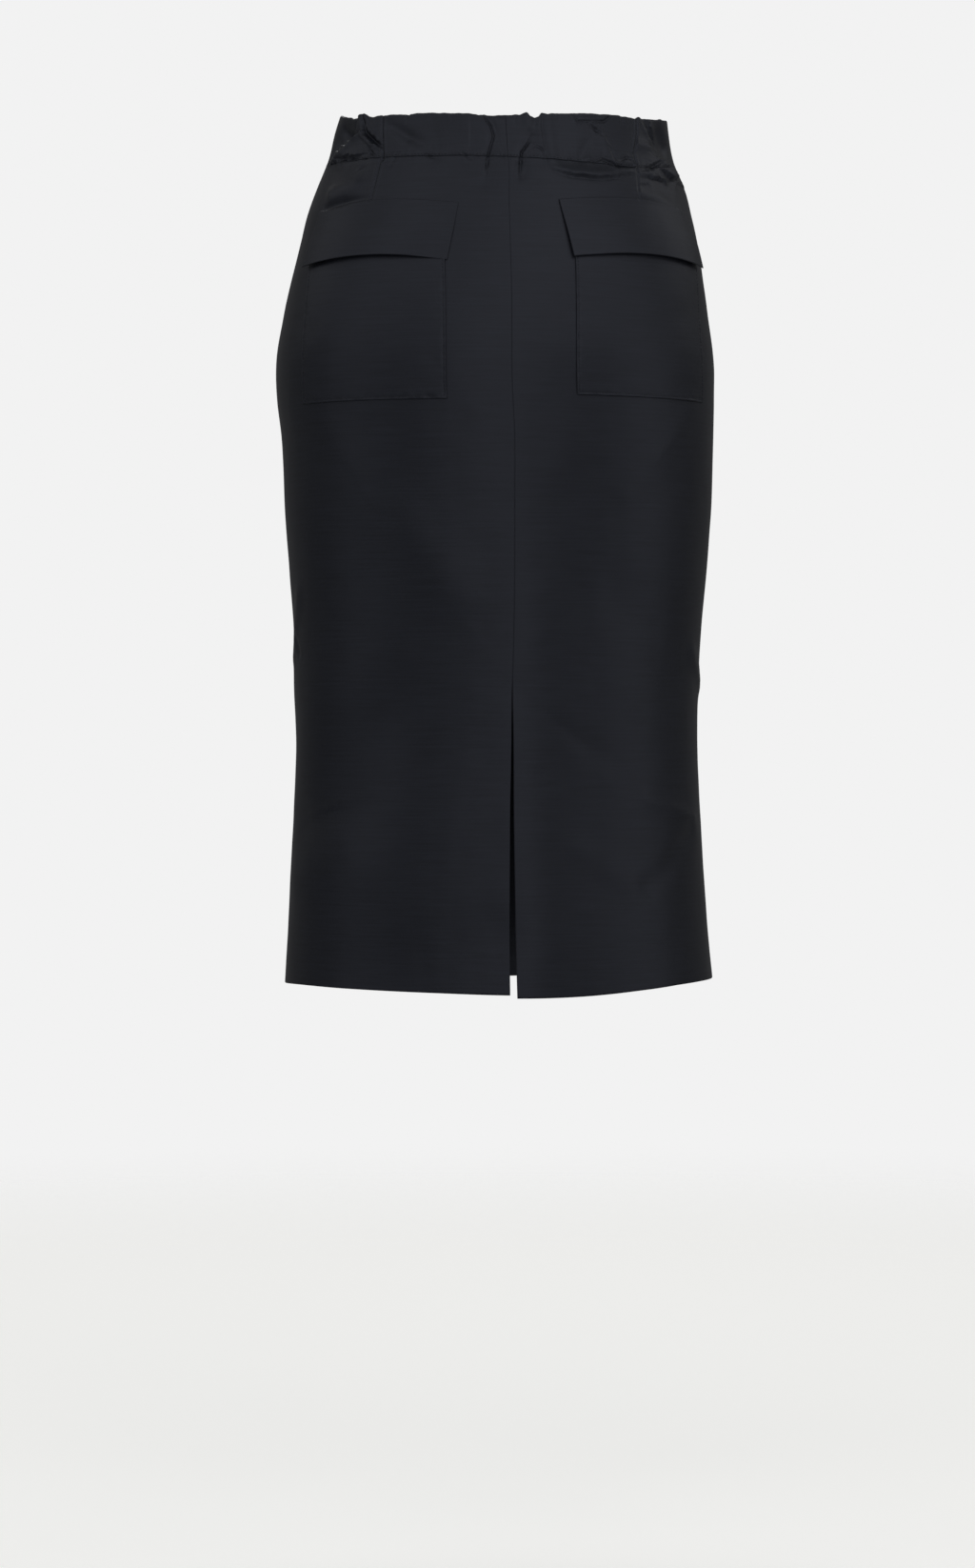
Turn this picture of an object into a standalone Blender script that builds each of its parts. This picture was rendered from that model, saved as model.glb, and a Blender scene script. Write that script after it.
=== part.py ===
"""A satin midi skirt in its worn form: a hollow tube of cloth with an open waist and an open hem.

Frame: metres, +Z up. The origin is the middle of the waist opening, level with its edge at the sides.
The front faces -Y, the back faces +Y, and the wearer's left is +X.

Every piece is a wall that lies on one surface, the skirt's outer face, and a place on it has two names:
    turn  how far round, in quarters: 0 back seam, 1 left side seam, 2 middle of the front, 3 or -1 right
    drop  how far below the origin, in metres
A piece is a flat grid, extruded into a block, whose corners are then laid on that surface.
"""

import bmesh
import bpy
import numpy as np

# ---------------------------------------------------------------- driving sizes, in metres

PANEL_WALL = 0.0012
CASING_WALL = 0.0032
CASING_MIDDLE = 0.0300
POCKET_WALL = 0.0010
FLAP_WALL = 0.0016
SEAM_GAP = 0.0003
LAYER_GAP = 0.0003
MILLIMETRE = 0.001

# The slit: its depth, how far each edge stands from the back seam at the hem, and the right edge's hang.
SLIT_TOP = 0.474
SLIT_FOOT = 0.731
SLIT_LEFT = 0.0045
SLIT_RIGHT = 0.0012
SLIT_SPREAD = 0.8
SLIT_DROOP = 0.0024
SLIT_DROOP_REACH = 0.6
SLIT_PROUD = 0.0020
SLIT_PROUD_REACH = 0.045

# Pockets and flaps: places of their edges from the back seam, measured along the cloth.
POCKET_INNER = 0.0550
POCKET_OUTER = 0.1835
POCKET_BELOW_FLAP = 0.034
FLAP_INNER_TOP = 0.0425
FLAP_INNER_FOOT = 0.0533
FLAP_OUTER_TOP = 0.1750
FLAP_OUTER_FOOT = 0.1870
FLAP_HEIGHT = 0.0475
FLAP_ARCH = 0.0045
FLAP_LIFT = 0.0030
FLAP_STEP_END = 0.30

# How far apart the places are whose difference gives the surface's direction, in turns and in metres.
NORMAL_STEP = 0.002

# ---------------------------------------------------------------- tables with named columns

# The outline at each depth: half its width, how far it reaches behind and before the side seams, how far
# its middle sways towards the wearer's left, and how square its corners are.
SECTION_COLUMNS = ("drop", "half_width", "back_depth", "front_depth", "sway", "squareness")
SECTIONS = (
    (0.000, 0.1365, 0.0940, 0.0930, 0.0000, 0.000),
    (0.015, 0.1400, 0.0955, 0.0940, 0.0015, 0.000),
    (0.040, 0.1460, 0.0995, 0.0970, 0.0020, 0.004),
    (0.062, 0.1545, 0.1055, 0.1010, 0.0020, 0.010),
    (0.086, 0.1615, 0.1120, 0.1050, 0.0035, 0.016),
    (0.110, 0.1670, 0.1175, 0.1080, 0.0040, 0.020),
    (0.143, 0.1735, 0.1235, 0.1120, 0.0055, 0.024),
    (0.175, 0.1790, 0.1275, 0.1140, 0.0070, 0.026),
    (0.206, 0.1835, 0.1300, 0.1160, 0.0075, 0.026),
    (0.240, 0.1835, 0.1300, 0.1170, 0.0070, 0.026),
    (0.270, 0.1815, 0.1290, 0.1180, 0.0055, 0.024),
    (0.334, 0.1790, 0.1255, 0.1180, 0.0050, 0.020),
    (0.382, 0.1755, 0.1230, 0.1180, 0.0050, 0.018),
    (0.430, 0.1715, 0.1210, 0.1180, 0.0055, 0.016),
    (0.480, 0.1700, 0.1200, 0.1180, 0.0065, 0.016),
    (0.530, 0.1690, 0.1195, 0.1180, 0.0060, 0.016),
    (0.590, 0.1715, 0.1205, 0.1180, 0.0060, 0.016),
    (0.640, 0.1740, 0.1220, 0.1190, 0.0055, 0.018),
    (0.686, 0.1770, 0.1240, 0.1200, 0.0050, 0.018),
    (0.735, 0.1810, 0.1250, 0.1210, 0.0040, 0.018),
)

# The elastic pulls the back seam towards the wearer's left at the waist.
DRIFT_COLUMNS = ("drop", "shift")
DRIFT = (
    (0.000, 0.0085),
    (0.060, 0.0055),
    (0.120, 0.0035),
    (0.170, 0.0005),
    (0.240, 0.0000),
    (0.735, 0.0000),
)

# Three lines run round the skirt: its top edge, the casing's stitch line and the hem.
LINE_COLUMNS = ("turn", "drop")
WAIST_EDGE = (
    (-1.00, 0.0025),
    (-0.86, 0.0063),
    (-0.77, 0.0083),
    (-0.70, 0.0096),
    (-0.62, 0.0108),
    (-0.53, 0.0103),
    (-0.35, 0.0114),
    (-0.23, 0.0127),
    (-0.17, 0.0131),
    (-0.13, 0.0160),
    (-0.10, 0.0137),
    (0.00, 0.0147),
    (0.08, 0.0152),
    (0.16, 0.0139),
    (0.26, 0.0130),
    (0.40, 0.0117),
    (0.44, 0.0126),
    (0.52, 0.0116),
    (0.65, 0.0114),
    (0.70, 0.0078),
    (0.73, 0.0083),
    (0.77, 0.0099),
    (0.85, 0.0072),
    (1.00, 0.0025),
    (1.30, 0.0052),
    (1.48, 0.0074),
    (1.55, 0.0058),
    (2.00, 0.0085),
    (2.35, 0.0080),
    (2.42, 0.0056),
    (2.60, 0.0052),
    (3.00, 0.0025),
)
STITCH_LINE = (
    (-1.00, 0.0470),
    (-0.75, 0.0487),
    (-0.55, 0.0530),
    (-0.30, 0.0518),
    (0.00, 0.0496),
    (0.37, 0.0481),
    (0.72, 0.0466),
    (1.00, 0.0455),
    (1.50, 0.0475),
    (2.00, 0.0490),
    (2.50, 0.0480),
    (3.00, 0.0470),
)
HEM = (
    (-1.00, 0.7235),
    (-0.74, 0.7239),
    (-0.49, 0.7267),
    (-0.25, 0.7296),
    (0.00, 0.7301),
    (0.30, 0.7282),
    (0.58, 0.7263),
    (0.80, 0.7254),
    (1.00, 0.7265),
    (1.50, 0.7285),
    (2.00, 0.7300),
    (2.50, 0.7270),
    (3.00, 0.7235),
)

# The pockets: on which side, the direction of turn to it, and the flap's top and the pocket's foot below
# the origin.
POCKET_COLUMNS = ("side", "direction", "flap_top", "foot")
POCKETS = (
    ("left", 1.0, 0.0890, 0.2490),
    ("right", -1.0, 0.0855, 0.2450),
)

# Creases in millimetres: from one place to another, each measured from the back seam towards the
# wearer's left and below the origin, then half the width and the height, which is negative in a trough.
# The legs of one crease share its name.
CREASE_COLUMNS = ("name", "across", "drop", "to_across", "to_drop", "half_width", "height")
CASING_CREASES = (
    ("left side tuck", 140, 14, 168, 28, 5.5, -1.7),
    ("left side roll", 134, 8, 134, 27, 4.0, 1.2),
    ("left dart tuck", 129, 12, 120, 26, 4.0, -1.7),
    ("left dart tuck", 120, 26, 109, 35, 4.0, -1.6),
    ("left hook", 104, 15, 88, 33, 4.0, -1.4),
    ("left hook", 88, 33, 74, 36, 3.5, -1.0),
    ("left ease", 62, 16, 58, 49, 5.0, -0.9),
    ("left roll", 30, 12, 32, 49, 3.5, 1.0),
    ("left stitch tuck", 168, 40, 124, 46, 4.0, -1.6),
    ("left of seam", 17, 12, 9, 28, 3.5, -1.4),
    ("left of seam", 9, 28, 16, 50, 3.5, -1.4),
    ("right bump", -19, 11, -23, 24, 4.5, 1.0),
    ("right of seam", -23, 30, -12, 44, 3.5, -1.4),
    ("right of seam", -12, 44, -11, 53, 3.5, -1.4),
    ("right roll", -31, 12, -35, 51, 3.5, 1.3),
    ("right hook", -58, 15, -75, 20, 4.5, -1.4),
    ("right hook", -75, 20, -90, 12, 4.5, -1.4),
    ("right long roll", -77, 25, -90, 50, 3.5, 1.3),
    ("right ease", -68, 37, -62, 52, 4.0, -1.0),
    ("right side tuck", -121, 10, -134, 21, 5.0, -1.7),
    ("right side tuck", -134, 21, -155, 42, 5.5, -1.7),
    ("right side roll", -118, 34, -139, 43, 4.5, 1.2),
)
PANEL_CREASES = (
    ("left tail", 17, 50, 20, 72, 5.0, -1.2),
    ("right tail", -11, 53, -11, 64, 5.0, -1.2),
    ("right sag", -34, 61, -72, 67, 5.0, -1.5),
    ("right sag", -72, 67, -112, 59, 5.0, -1.5),
    ("right hip drag", -112, 66, -148, 56, 5.5, -1.8),
    ("right hip drag", -148, 56, -172, 68, 5.5, -1.4),
    ("left hip drag", 122, 80, 165, 84, 6.0, -1.2),
    ("left hip roll", 124, 60, 160, 66, 7.0, 1.4),
    ("under left pocket", 171, 256, 118, 333, 12.0, 1.0),
    ("under right pocket", -166, 252, -98, 325, 12.0, 1.0),
    ("left thigh", 79, 385, 150, 470, 26.0, -2.4),
    ("left thigh", 150, 470, 178, 560, 26.0, -2.0),
    ("right thigh", -92, 400, -150, 470, 24.0, -1.6),
    ("left knee ridge", 214, 597, 159, 577, 9.0, 2.0),
    ("left knee ridge", 159, 577, 104, 566, 12.0, 1.4),
    ("left knee below", 200, 668, 120, 640, 16.0, -1.5),
    ("left seam pinch", 226, 455, 205, 405, 8.0, 1.6),
    ("right seam pinch", -180, 452, -212, 478, 8.0, 1.6),
    ("right knee ridge", -119, 572, -182, 590, 9.0, 1.8),
    ("right knee below", -176, 599, -120, 643, 10.0, -1.6),
    ("right calf", -54, 611, -100, 639, 10.0, 0.9),
    ("slit drag", -8, 484, -84, 542, 9.0, -1.0),
)
# The same columns, measured from the middle of the front towards the wearer's left.
FRONT_CREASES = (
    ("right hip drag", -150, 62, -112, 92, 9.0, -1.4),
    ("left hip drag", 154, 66, 118, 88, 8.0, -1.4),
    ("right lap", -128, 120, -60, 158, 14.0, -1.4),
    ("left lap", 124, 128, 52, 162, 13.0, -1.5),
    ("right thigh", -70, 390, -150, 500, 26.0, -2.0),
    ("left thigh", 78, 410, 146, 480, 24.0, -1.8),
    ("right knee ridge", -206, 596, -128, 578, 10.0, 1.6),
    ("left knee ridge", 196, 586, 110, 570, 11.0, 1.7),
    ("right knee below", -190, 660, -96, 634, 14.0, -1.3),
    ("left knee below", 176, 650, 84, 626, 13.0, -1.2),
)
# The front casing repeats the back's creases, turned half way round, at this share of their height.
FRONT_CASING_SHARE = 0.7

# Grid counts: columns and rows of faces in each kind of piece.
CASING_BACK_GRID = (48, 5)
CASING_FRONT_GRID = (64, 4)
BACK_PANEL_COLUMNS = 24
FRONT_PANEL_COLUMNS = 28
POCKET_GRID = (12, 12)
FLAP_GRID = (12, 5)
# Rows of faces in the panels, closer together towards the waist: share of the height, and rows down to it.
PANEL_BANDS = ((0.04, 5), (0.10, 4), (0.28, 8), (1.00, 17))


def column(names, rows, name):
    """One column of a table, as an array."""
    return np.array([row[names.index(name)] for row in rows])


def named_rows(names, rows):
    """The rows of a table, each as a dictionary from a column's name to its value."""
    return [dict(zip(names, row)) for row in rows]


def smooth(names, rows, name, at):
    """The value of a column at a place between the rows, on a smooth curve through them."""
    places = column(names, rows, names[0])
    values = column(names, rows, name)
    spans = np.diff(places)
    slopes = np.diff(values) / spans
    tangents = np.empty_like(values)
    tangents[0] = slopes[0]
    tangents[-1] = slopes[-1]
    tangents[1:-1] = (slopes[:-1] * spans[1:] + slopes[1:] * spans[:-1]) / (spans[:-1] + spans[1:])
    at = np.clip(at, places[0], places[-1])
    row = np.clip(np.searchsorted(places, at, side="right") - 1, 0, len(spans) - 1)
    part = (at - places[row]) / spans[row]
    rest = 1.0 - part
    return (
        (1.0 + 2.0 * part) * rest**2 * values[row]
        + part * rest**2 * spans[row] * tangents[row]
        + part**2 * (3.0 - 2.0 * part) * values[row + 1]
        - part**2 * rest * spans[row] * tangents[row + 1]
    )


def line_drop(line, turn):
    """Depth of one of the three lines at a turn from -1 to 3."""
    return smooth(LINE_COLUMNS, line, "drop", turn)


# ---------------------------------------------------------------- the surface


def quarter_girth(drop):
    """Length of cloth from the back seam to a side seam."""
    width = smooth(SECTION_COLUMNS, SECTIONS, "half_width", drop)
    depth = smooth(SECTION_COLUMNS, SECTIONS, "back_depth", drop)
    squareness = smooth(SECTION_COLUMNS, SECTIONS, "squareness", drop)
    flatness = (width - depth) / (width + depth)
    return np.pi / 4 * (width + depth) * (1 + flatness**2 / 4) * (1 + squareness / 2)


def signed_turn(turn):
    """The turn from the back seam, from -2 to 2."""
    return (turn + 2.0) % 4.0 - 2.0


def plain_skirt(turn, drop):
    """Places on the outer face with its folds left out."""
    turn = signed_turn(turn)
    back_share = np.clip(1.0 - turn**2, 0.0, 1.0)
    shift = smooth(DRIFT_COLUMNS, DRIFT, "shift", drop)
    turn = turn + back_share * shift / quarter_girth(drop)
    behind = np.abs(turn) <= 1.0
    width = smooth(SECTION_COLUMNS, SECTIONS, "half_width", drop)
    depth = np.where(
        behind,
        smooth(SECTION_COLUMNS, SECTIONS, "back_depth", drop),
        smooth(SECTION_COLUMNS, SECTIONS, "front_depth", drop),
    )
    flatness = (width - depth) / (width + depth)
    from_side = np.abs(np.abs(turn) - 1.0)
    angle = np.pi / 2 * from_side + flatness / 2 * np.sin(np.pi * from_side)
    bulge = 1.0 + smooth(SECTION_COLUMNS, SECTIONS, "squareness", drop) * np.sin(2 * angle) ** 2
    sway = smooth(SECTION_COLUMNS, SECTIONS, "sway", drop)
    across = sway + np.sign(turn) * width * np.cos(angle) * bulge
    to_the_back = np.where(behind, 1.0, -1.0) * depth * np.sin(angle) * bulge
    return np.stack([across, to_the_back, -drop], axis=-1)


def outward(turn, drop):
    """Directions square to the plain skirt, pointing out."""
    round_it = plain_skirt(turn + NORMAL_STEP, drop) - plain_skirt(turn - NORMAL_STEP, drop)
    down_it = plain_skirt(turn, drop + NORMAL_STEP) - plain_skirt(turn, drop - NORMAL_STEP)
    normal = np.cross(round_it, down_it)
    return normal / np.linalg.norm(normal, axis=-1, keepdims=True)


def crease_height(creases, across, drop):
    """Height of a set of creases at places given in metres. Of a crease's legs, the stronger counts."""
    height_by_name = {}
    for crease in named_rows(CREASE_COLUMNS, creases):
        start_across = crease["across"] * MILLIMETRE
        start_drop = crease["drop"] * MILLIMETRE
        run_across = crease["to_across"] * MILLIMETRE - start_across
        run_down = crease["to_drop"] * MILLIMETRE - start_drop
        past_across = across - start_across
        past_down = drop - start_drop
        run_squared = run_across**2 + run_down**2
        share = np.clip((past_across * run_across + past_down * run_down) / run_squared, 0.0, 1.0)
        gap_squared = (past_across - share * run_across) ** 2 + (past_down - share * run_down) ** 2
        reach = crease["half_width"] * MILLIMETRE
        leg = crease["height"] * MILLIMETRE * np.exp(-gap_squared / reach**2)
        other_leg = height_by_name.get(crease["name"], 0.0)
        height_by_name[crease["name"]] = np.where(np.abs(leg) > np.abs(other_leg), leg, other_leg)
    return sum(height_by_name.values())


def casing_relief(turn, drop):
    """Height of the casing's gathers above its even thickness."""
    girth = quarter_girth(drop)
    behind = crease_height(CASING_CREASES, signed_turn(turn) * girth, drop)
    before = crease_height(CASING_CREASES, signed_turn(turn + 2.0) * girth, drop)
    return behind + FRONT_CASING_SHARE * before


def slit_share(drop):
    """How far the slit has opened at a depth, from 0 at its top to 1 at the hem."""
    return np.clip((drop - SLIT_TOP) / (SLIT_FOOT - SLIT_TOP), 0.0, 1.0) ** SLIT_SPREAD


def panel_relief(turn, drop):
    """Height of the folds in the panels, with the right edge of the slit standing proud."""
    girth = quarter_girth(drop)
    turn = signed_turn(turn)
    behind = crease_height(PANEL_CREASES, turn * girth, drop)
    before = crease_height(FRONT_CREASES, signed_turn(2.0 - turn) * girth, drop)
    from_seam = np.abs(turn) * girth
    proud = SLIT_PROUD * slit_share(drop) * np.exp(-((from_seam / SLIT_PROUD_REACH) ** 2))
    return behind + before + np.where((turn < 0.0) & (turn > -1.0), proud, 0.0)


def hem_drop(turn):
    """Depth of the hem. The right back panel hangs a little lower at the slit."""
    reach = np.clip(1.0 - (turn / SLIT_DROOP_REACH) ** 2, 0.0, 1.0)
    return line_drop(HEM, turn) + np.where(turn < 0.0, SLIT_DROOP * reach, 0.0)


# ---------------------------------------------------------------- how a piece is made


def block(name, grid, place, material):
    """A closed block with a grid of faces, laid on the surface by the function place.

    place gets arrays of the shares across (0 to 1), down (0 to 1) and inwards (0 outer, 1 inner face).
    """
    columns, rows = grid
    shape = bmesh.new()
    bmesh.ops.create_grid(shape, x_segments=columns, y_segments=rows, size=0.5)
    bmesh.ops.translate(shape, verts=shape.verts, vec=(0.5, 0.5, 0.0))
    copied = bmesh.ops.extrude_face_region(shape, geom=list(shape.faces), use_keep_orig=True)
    inner = [item for item in copied["geom"] if isinstance(item, bmesh.types.BMVert)]
    bmesh.ops.translate(shape, verts=inner, vec=(0.0, 0.0, 1.0))
    shares = np.array([vert.co[:] for vert in shape.verts])
    places = place(shares[:, 0], shares[:, 1], shares[:, 2])
    for vert, point in zip(shape.verts, places):
        vert.co = point
    bmesh.ops.triangulate(shape, faces=shape.faces)
    bmesh.ops.recalc_face_normals(shape, faces=shape.faces)
    mesh = bpy.data.meshes.new(name)
    shape.to_mesh(mesh)
    shape.free()
    mesh.shade_smooth()
    mesh.materials.append(material)
    piece = bpy.data.objects.new(name, mesh)
    skirt_collection.objects.link(piece)
    return piece


def lay(turn, drop, height):
    """Places at a height above the plain outer face."""
    return plain_skirt(turn, drop) + outward(turn, drop) * np.asarray(height)[..., None]


def mix(start, end, share):
    """The value a share of the way from start to end."""
    return start + (end - start) * share


def banded(share, bands):
    """Moves even rows to the places that a list of bands gives: (share of the height, rows)."""
    marks = [0.0]
    for end, rows in bands:
        marks.extend(np.linspace(marks[-1], end, rows + 1)[1:])
    return np.interp(share, np.linspace(0.0, 1.0, len(marks)), marks)


def seam_inset(drop):
    """Half of a seam's gap, as a turn."""
    return SEAM_GAP / 2 / quarter_girth(drop)


# ---------------------------------------------------------------- the pieces


def waist_casing(name, grid, turn_from, turn_to):
    """A stretch of the casing: gathered outside, plain inside."""

    def place(across, down, inwards):
        """Places of the casing's corners."""
        inset = seam_inset(CASING_MIDDLE)
        turn = mix(turn_from + inset, turn_to - inset, across)
        foot = line_drop(STITCH_LINE, turn) - SEAM_GAP / 2
        drop = mix(line_drop(WAIST_EDGE, turn), foot, down)
        gathered = casing_relief(turn, drop) * (1.0 - inwards)
        return lay(turn, drop, gathered - CASING_WALL * inwards)

    return block(name, grid, place, cloth)


def panel(name, columns, edge_from, edge_to):
    """A panel from the casing to the hem. The edges are functions that give a turn for each depth."""

    def place(across, down, inwards):
        """Places of the panel's corners."""
        down = banded(down, PANEL_BANDS)
        flat_drop = mix(line_drop(STITCH_LINE, 0.0), line_drop(HEM, 0.0), down)
        turn = mix(edge_from(flat_drop), edge_to(flat_drop), across)
        drop = mix(line_drop(STITCH_LINE, turn) + SEAM_GAP / 2, hem_drop(turn), down)
        return lay(turn, drop, panel_relief(turn, drop) - PANEL_WALL * inwards)

    rows = sum(rows for end, rows in PANEL_BANDS)
    return block(name, (columns, rows), place, cloth)


def left_slit_edge(drop):
    """The left back panel's edge at the back seam and the slit."""
    return seam_inset(drop) + SLIT_LEFT * slit_share(drop) / quarter_girth(drop)


def right_slit_edge(drop):
    """The right back panel's edge at the back seam and the slit."""
    return -seam_inset(drop) - SLIT_RIGHT * slit_share(drop) / quarter_girth(drop)


def side_edge(turn, direction):
    """An edge at a side seam, half a gap from it towards a direction of turn."""
    return lambda drop: turn + direction * seam_inset(drop)


def pocket(pocket_sizes):
    """A patch pocket, one layer moved out from its panel."""
    mouth = pocket_sizes["flap_top"] + POCKET_BELOW_FLAP

    def place(across, down, inwards):
        """Places of the pocket's corners."""
        drop = mix(mouth, pocket_sizes["foot"], down)
        distance = mix(POCKET_INNER, POCKET_OUTER, across)
        turn = pocket_sizes["direction"] * distance / quarter_girth(drop)
        height = panel_relief(turn, drop) + LAYER_GAP + POCKET_WALL * (1.0 - inwards)
        return lay(turn, drop, height)

    return block(f"pocket_{pocket_sizes['side']}", POCKET_GRID, place, cloth)


def pocket_flap(pocket_sizes):
    """A flap sewn above the pocket, which steps out over the pocket's mouth and lifts at its foot."""

    def place(across, down, inwards):
        """Places of the flap's corners."""
        arch = FLAP_ARCH * np.sin(np.pi * across)
        drop = pocket_sizes["flap_top"] + FLAP_HEIGHT * down - arch
        inner_edge = mix(FLAP_INNER_TOP, FLAP_INNER_FOOT, down)
        outer_edge = mix(FLAP_OUTER_TOP, FLAP_OUTER_FOOT, down)
        turn = pocket_sizes["direction"] * mix(inner_edge, outer_edge, across) / quarter_girth(drop)
        step_share = np.clip(down / FLAP_STEP_END, 0.0, 1.0)
        step_out = (POCKET_WALL + LAYER_GAP) * step_share**2 * (3.0 - 2.0 * step_share)
        height = panel_relief(turn, drop) + LAYER_GAP + step_out + FLAP_LIFT * down**2
        return lay(turn, drop, height + FLAP_WALL * (1.0 - inwards))

    return block(f"pocket_flap_{pocket_sizes['side']}", FLAP_GRID, place, cloth)


def satin():
    """Black satin: dark, with a soft sheen."""
    material = bpy.data.materials.new("black_satin")
    material.use_nodes = True
    shader = material.node_tree.nodes["Principled BSDF"]
    shader.inputs["Base Color"].default_value = (0.010, 0.011, 0.013, 1.0)
    shader.inputs["Roughness"].default_value = 0.42
    shader.inputs["Metallic"].default_value = 0.0
    return material


for item in list(bpy.data.objects):
    bpy.data.objects.remove(item)
skirt_collection = bpy.data.collections.new("satin_skirt")
bpy.context.scene.collection.children.link(skirt_collection)
cloth = satin()

waist_casing("waist_casing_back_left", CASING_BACK_GRID, 0.0, 1.0)
waist_casing("waist_casing_back_right", CASING_BACK_GRID, -1.0, 0.0)
waist_casing("waist_casing_front", CASING_FRONT_GRID, 1.0, 3.0)
panel("back_panel_left", BACK_PANEL_COLUMNS, left_slit_edge, side_edge(1.0, -1.0))
panel("back_panel_right", BACK_PANEL_COLUMNS, side_edge(-1.0, 1.0), right_slit_edge)
panel("front_panel", FRONT_PANEL_COLUMNS, side_edge(1.0, 1.0), side_edge(3.0, -1.0))
for sizes in named_rows(POCKET_COLUMNS, POCKETS):
    pocket(sizes)
    pocket_flap(sizes)
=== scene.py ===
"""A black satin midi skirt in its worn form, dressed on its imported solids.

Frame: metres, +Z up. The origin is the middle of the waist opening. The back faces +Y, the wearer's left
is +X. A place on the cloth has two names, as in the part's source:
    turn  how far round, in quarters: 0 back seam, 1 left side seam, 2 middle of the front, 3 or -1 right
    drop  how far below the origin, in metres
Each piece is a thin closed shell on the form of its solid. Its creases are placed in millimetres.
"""

import logging
import math
from dataclasses import dataclass
from dataclasses import field
from enum import Enum
from typing import Any
from typing import Callable

import bmesh
import bpy
import numpy as np
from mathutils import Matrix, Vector
from mathutils import noise


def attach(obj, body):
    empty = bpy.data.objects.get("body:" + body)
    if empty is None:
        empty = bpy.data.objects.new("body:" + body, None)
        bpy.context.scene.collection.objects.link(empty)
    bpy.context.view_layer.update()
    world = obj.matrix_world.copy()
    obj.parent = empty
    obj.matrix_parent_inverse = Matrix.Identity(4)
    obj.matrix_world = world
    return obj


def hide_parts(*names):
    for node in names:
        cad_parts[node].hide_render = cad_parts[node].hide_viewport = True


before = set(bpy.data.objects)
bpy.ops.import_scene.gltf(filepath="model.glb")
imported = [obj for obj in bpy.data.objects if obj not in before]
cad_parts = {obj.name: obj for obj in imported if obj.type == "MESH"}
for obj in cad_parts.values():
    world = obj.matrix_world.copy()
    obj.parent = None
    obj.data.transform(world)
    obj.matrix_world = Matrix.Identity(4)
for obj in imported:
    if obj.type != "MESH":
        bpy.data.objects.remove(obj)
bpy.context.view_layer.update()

BODY = "root"
MILLIMETRE = 0.001

logging.basicConfig(level=logging.INFO, format="%(message)s")
log = logging.getLogger("satin_skirt")

Array = np.ndarray
# A line on the cloth: the turn at each drop.
Edge = Callable[[Array], Array]
# Places on the cloth: the turn, the drop and the height of each.
Laid = tuple[Array, Array, Array]


# ---------------------------------------------------------------- small helpers


def linear(hex_colour: str) -> tuple[float, float, float, float]:
    """Turns an sRGB hex colour to linear light.

    Args:
        hex_colour: six hexadecimal digits after a hash.

    Returns:
        Red, green, blue and an alpha of 1.
    """
    digits = hex_colour.lstrip("#")
    shares = [int(digits[start : start + 2], 16) / 255 for start in (0, 2, 4)]
    red, green, blue = [
        share / 12.92 if share <= 0.04045 else ((share + 0.055) / 1.055) ** 2.4 for share in shares
    ]
    return red, green, blue, 1.0


def mix(start: Any, end: Any, share: Any) -> Any:
    """The value a share of the way from start to end."""
    return start + (end - start) * share


def rise(value: Array) -> Array:
    """A smooth step from 0 to 1 as a value goes from 0 to 1."""
    value = np.clip(value, 0.0, 1.0)
    return value**2 * (3.0 - 2.0 * value)


def rounded(distance: Array, radius: float) -> Array:
    """The height of a rounded edge, from 0 at the edge to 1 at a radius from it."""
    inwards = np.clip(distance / radius, 0.0, 1.0)
    return np.sqrt(1.0 - (1.0 - inwards) ** 2)


def ripple(across: Array, drop: Array, wide: float, tall: float, seed: float) -> Array:
    """An even waviness between about -1 and 1, the same on every run.

    Args:
        across: places along the cloth, in metres.
        drop: places down the cloth, in metres.
        wide: length of a wave across, in metres.
        tall: length of a wave downwards, in metres.
        seed: which waviness it is.

    Returns:
        The waviness at each place.
    """
    places = zip(np.ravel(across) / wide, np.ravel(drop) / tall)
    values = np.array([noise.noise((over, down, seed)) for over, down in places])
    return values.reshape(np.shape(across))


# ---------------------------------------------------------------- the worn form


@dataclass(frozen=True)
class Table:
    """Rows of sizes with named columns, joined by smooth curves. The first column holds the places."""

    columns: tuple[str, ...]
    rows: tuple[tuple[float, ...], ...]

    def at(self, name: str, place: Array) -> Array:
        """The value of a column on the smooth curve through its rows.

        Args:
            name: the column.
            place: where, in the unit of the first column.

        Returns:
            The value at each place.
        """
        places = np.array([row[0] for row in self.rows])
        values = np.array([row[self.columns.index(name)] for row in self.rows])
        spans = np.diff(places)
        slopes = np.diff(values) / spans
        tangents = np.empty_like(values)
        tangents[0] = slopes[0]
        tangents[-1] = slopes[-1]
        tangents[1:-1] = (slopes[:-1] * spans[1:] + slopes[1:] * spans[:-1]) / (spans[:-1] + spans[1:])
        place = np.clip(place, places[0], places[-1])
        row = np.clip(np.searchsorted(places, place, side="right") - 1, 0, len(spans) - 1)
        part = (place - places[row]) / spans[row]
        rest = 1.0 - part
        return (
            (1.0 + 2.0 * part) * rest**2 * values[row]
            + part * rest**2 * spans[row] * tangents[row]
            + part**2 * (3.0 - 2.0 * part) * values[row + 1]
            - part**2 * rest * spans[row] * tangents[row + 1]
        )


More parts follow.
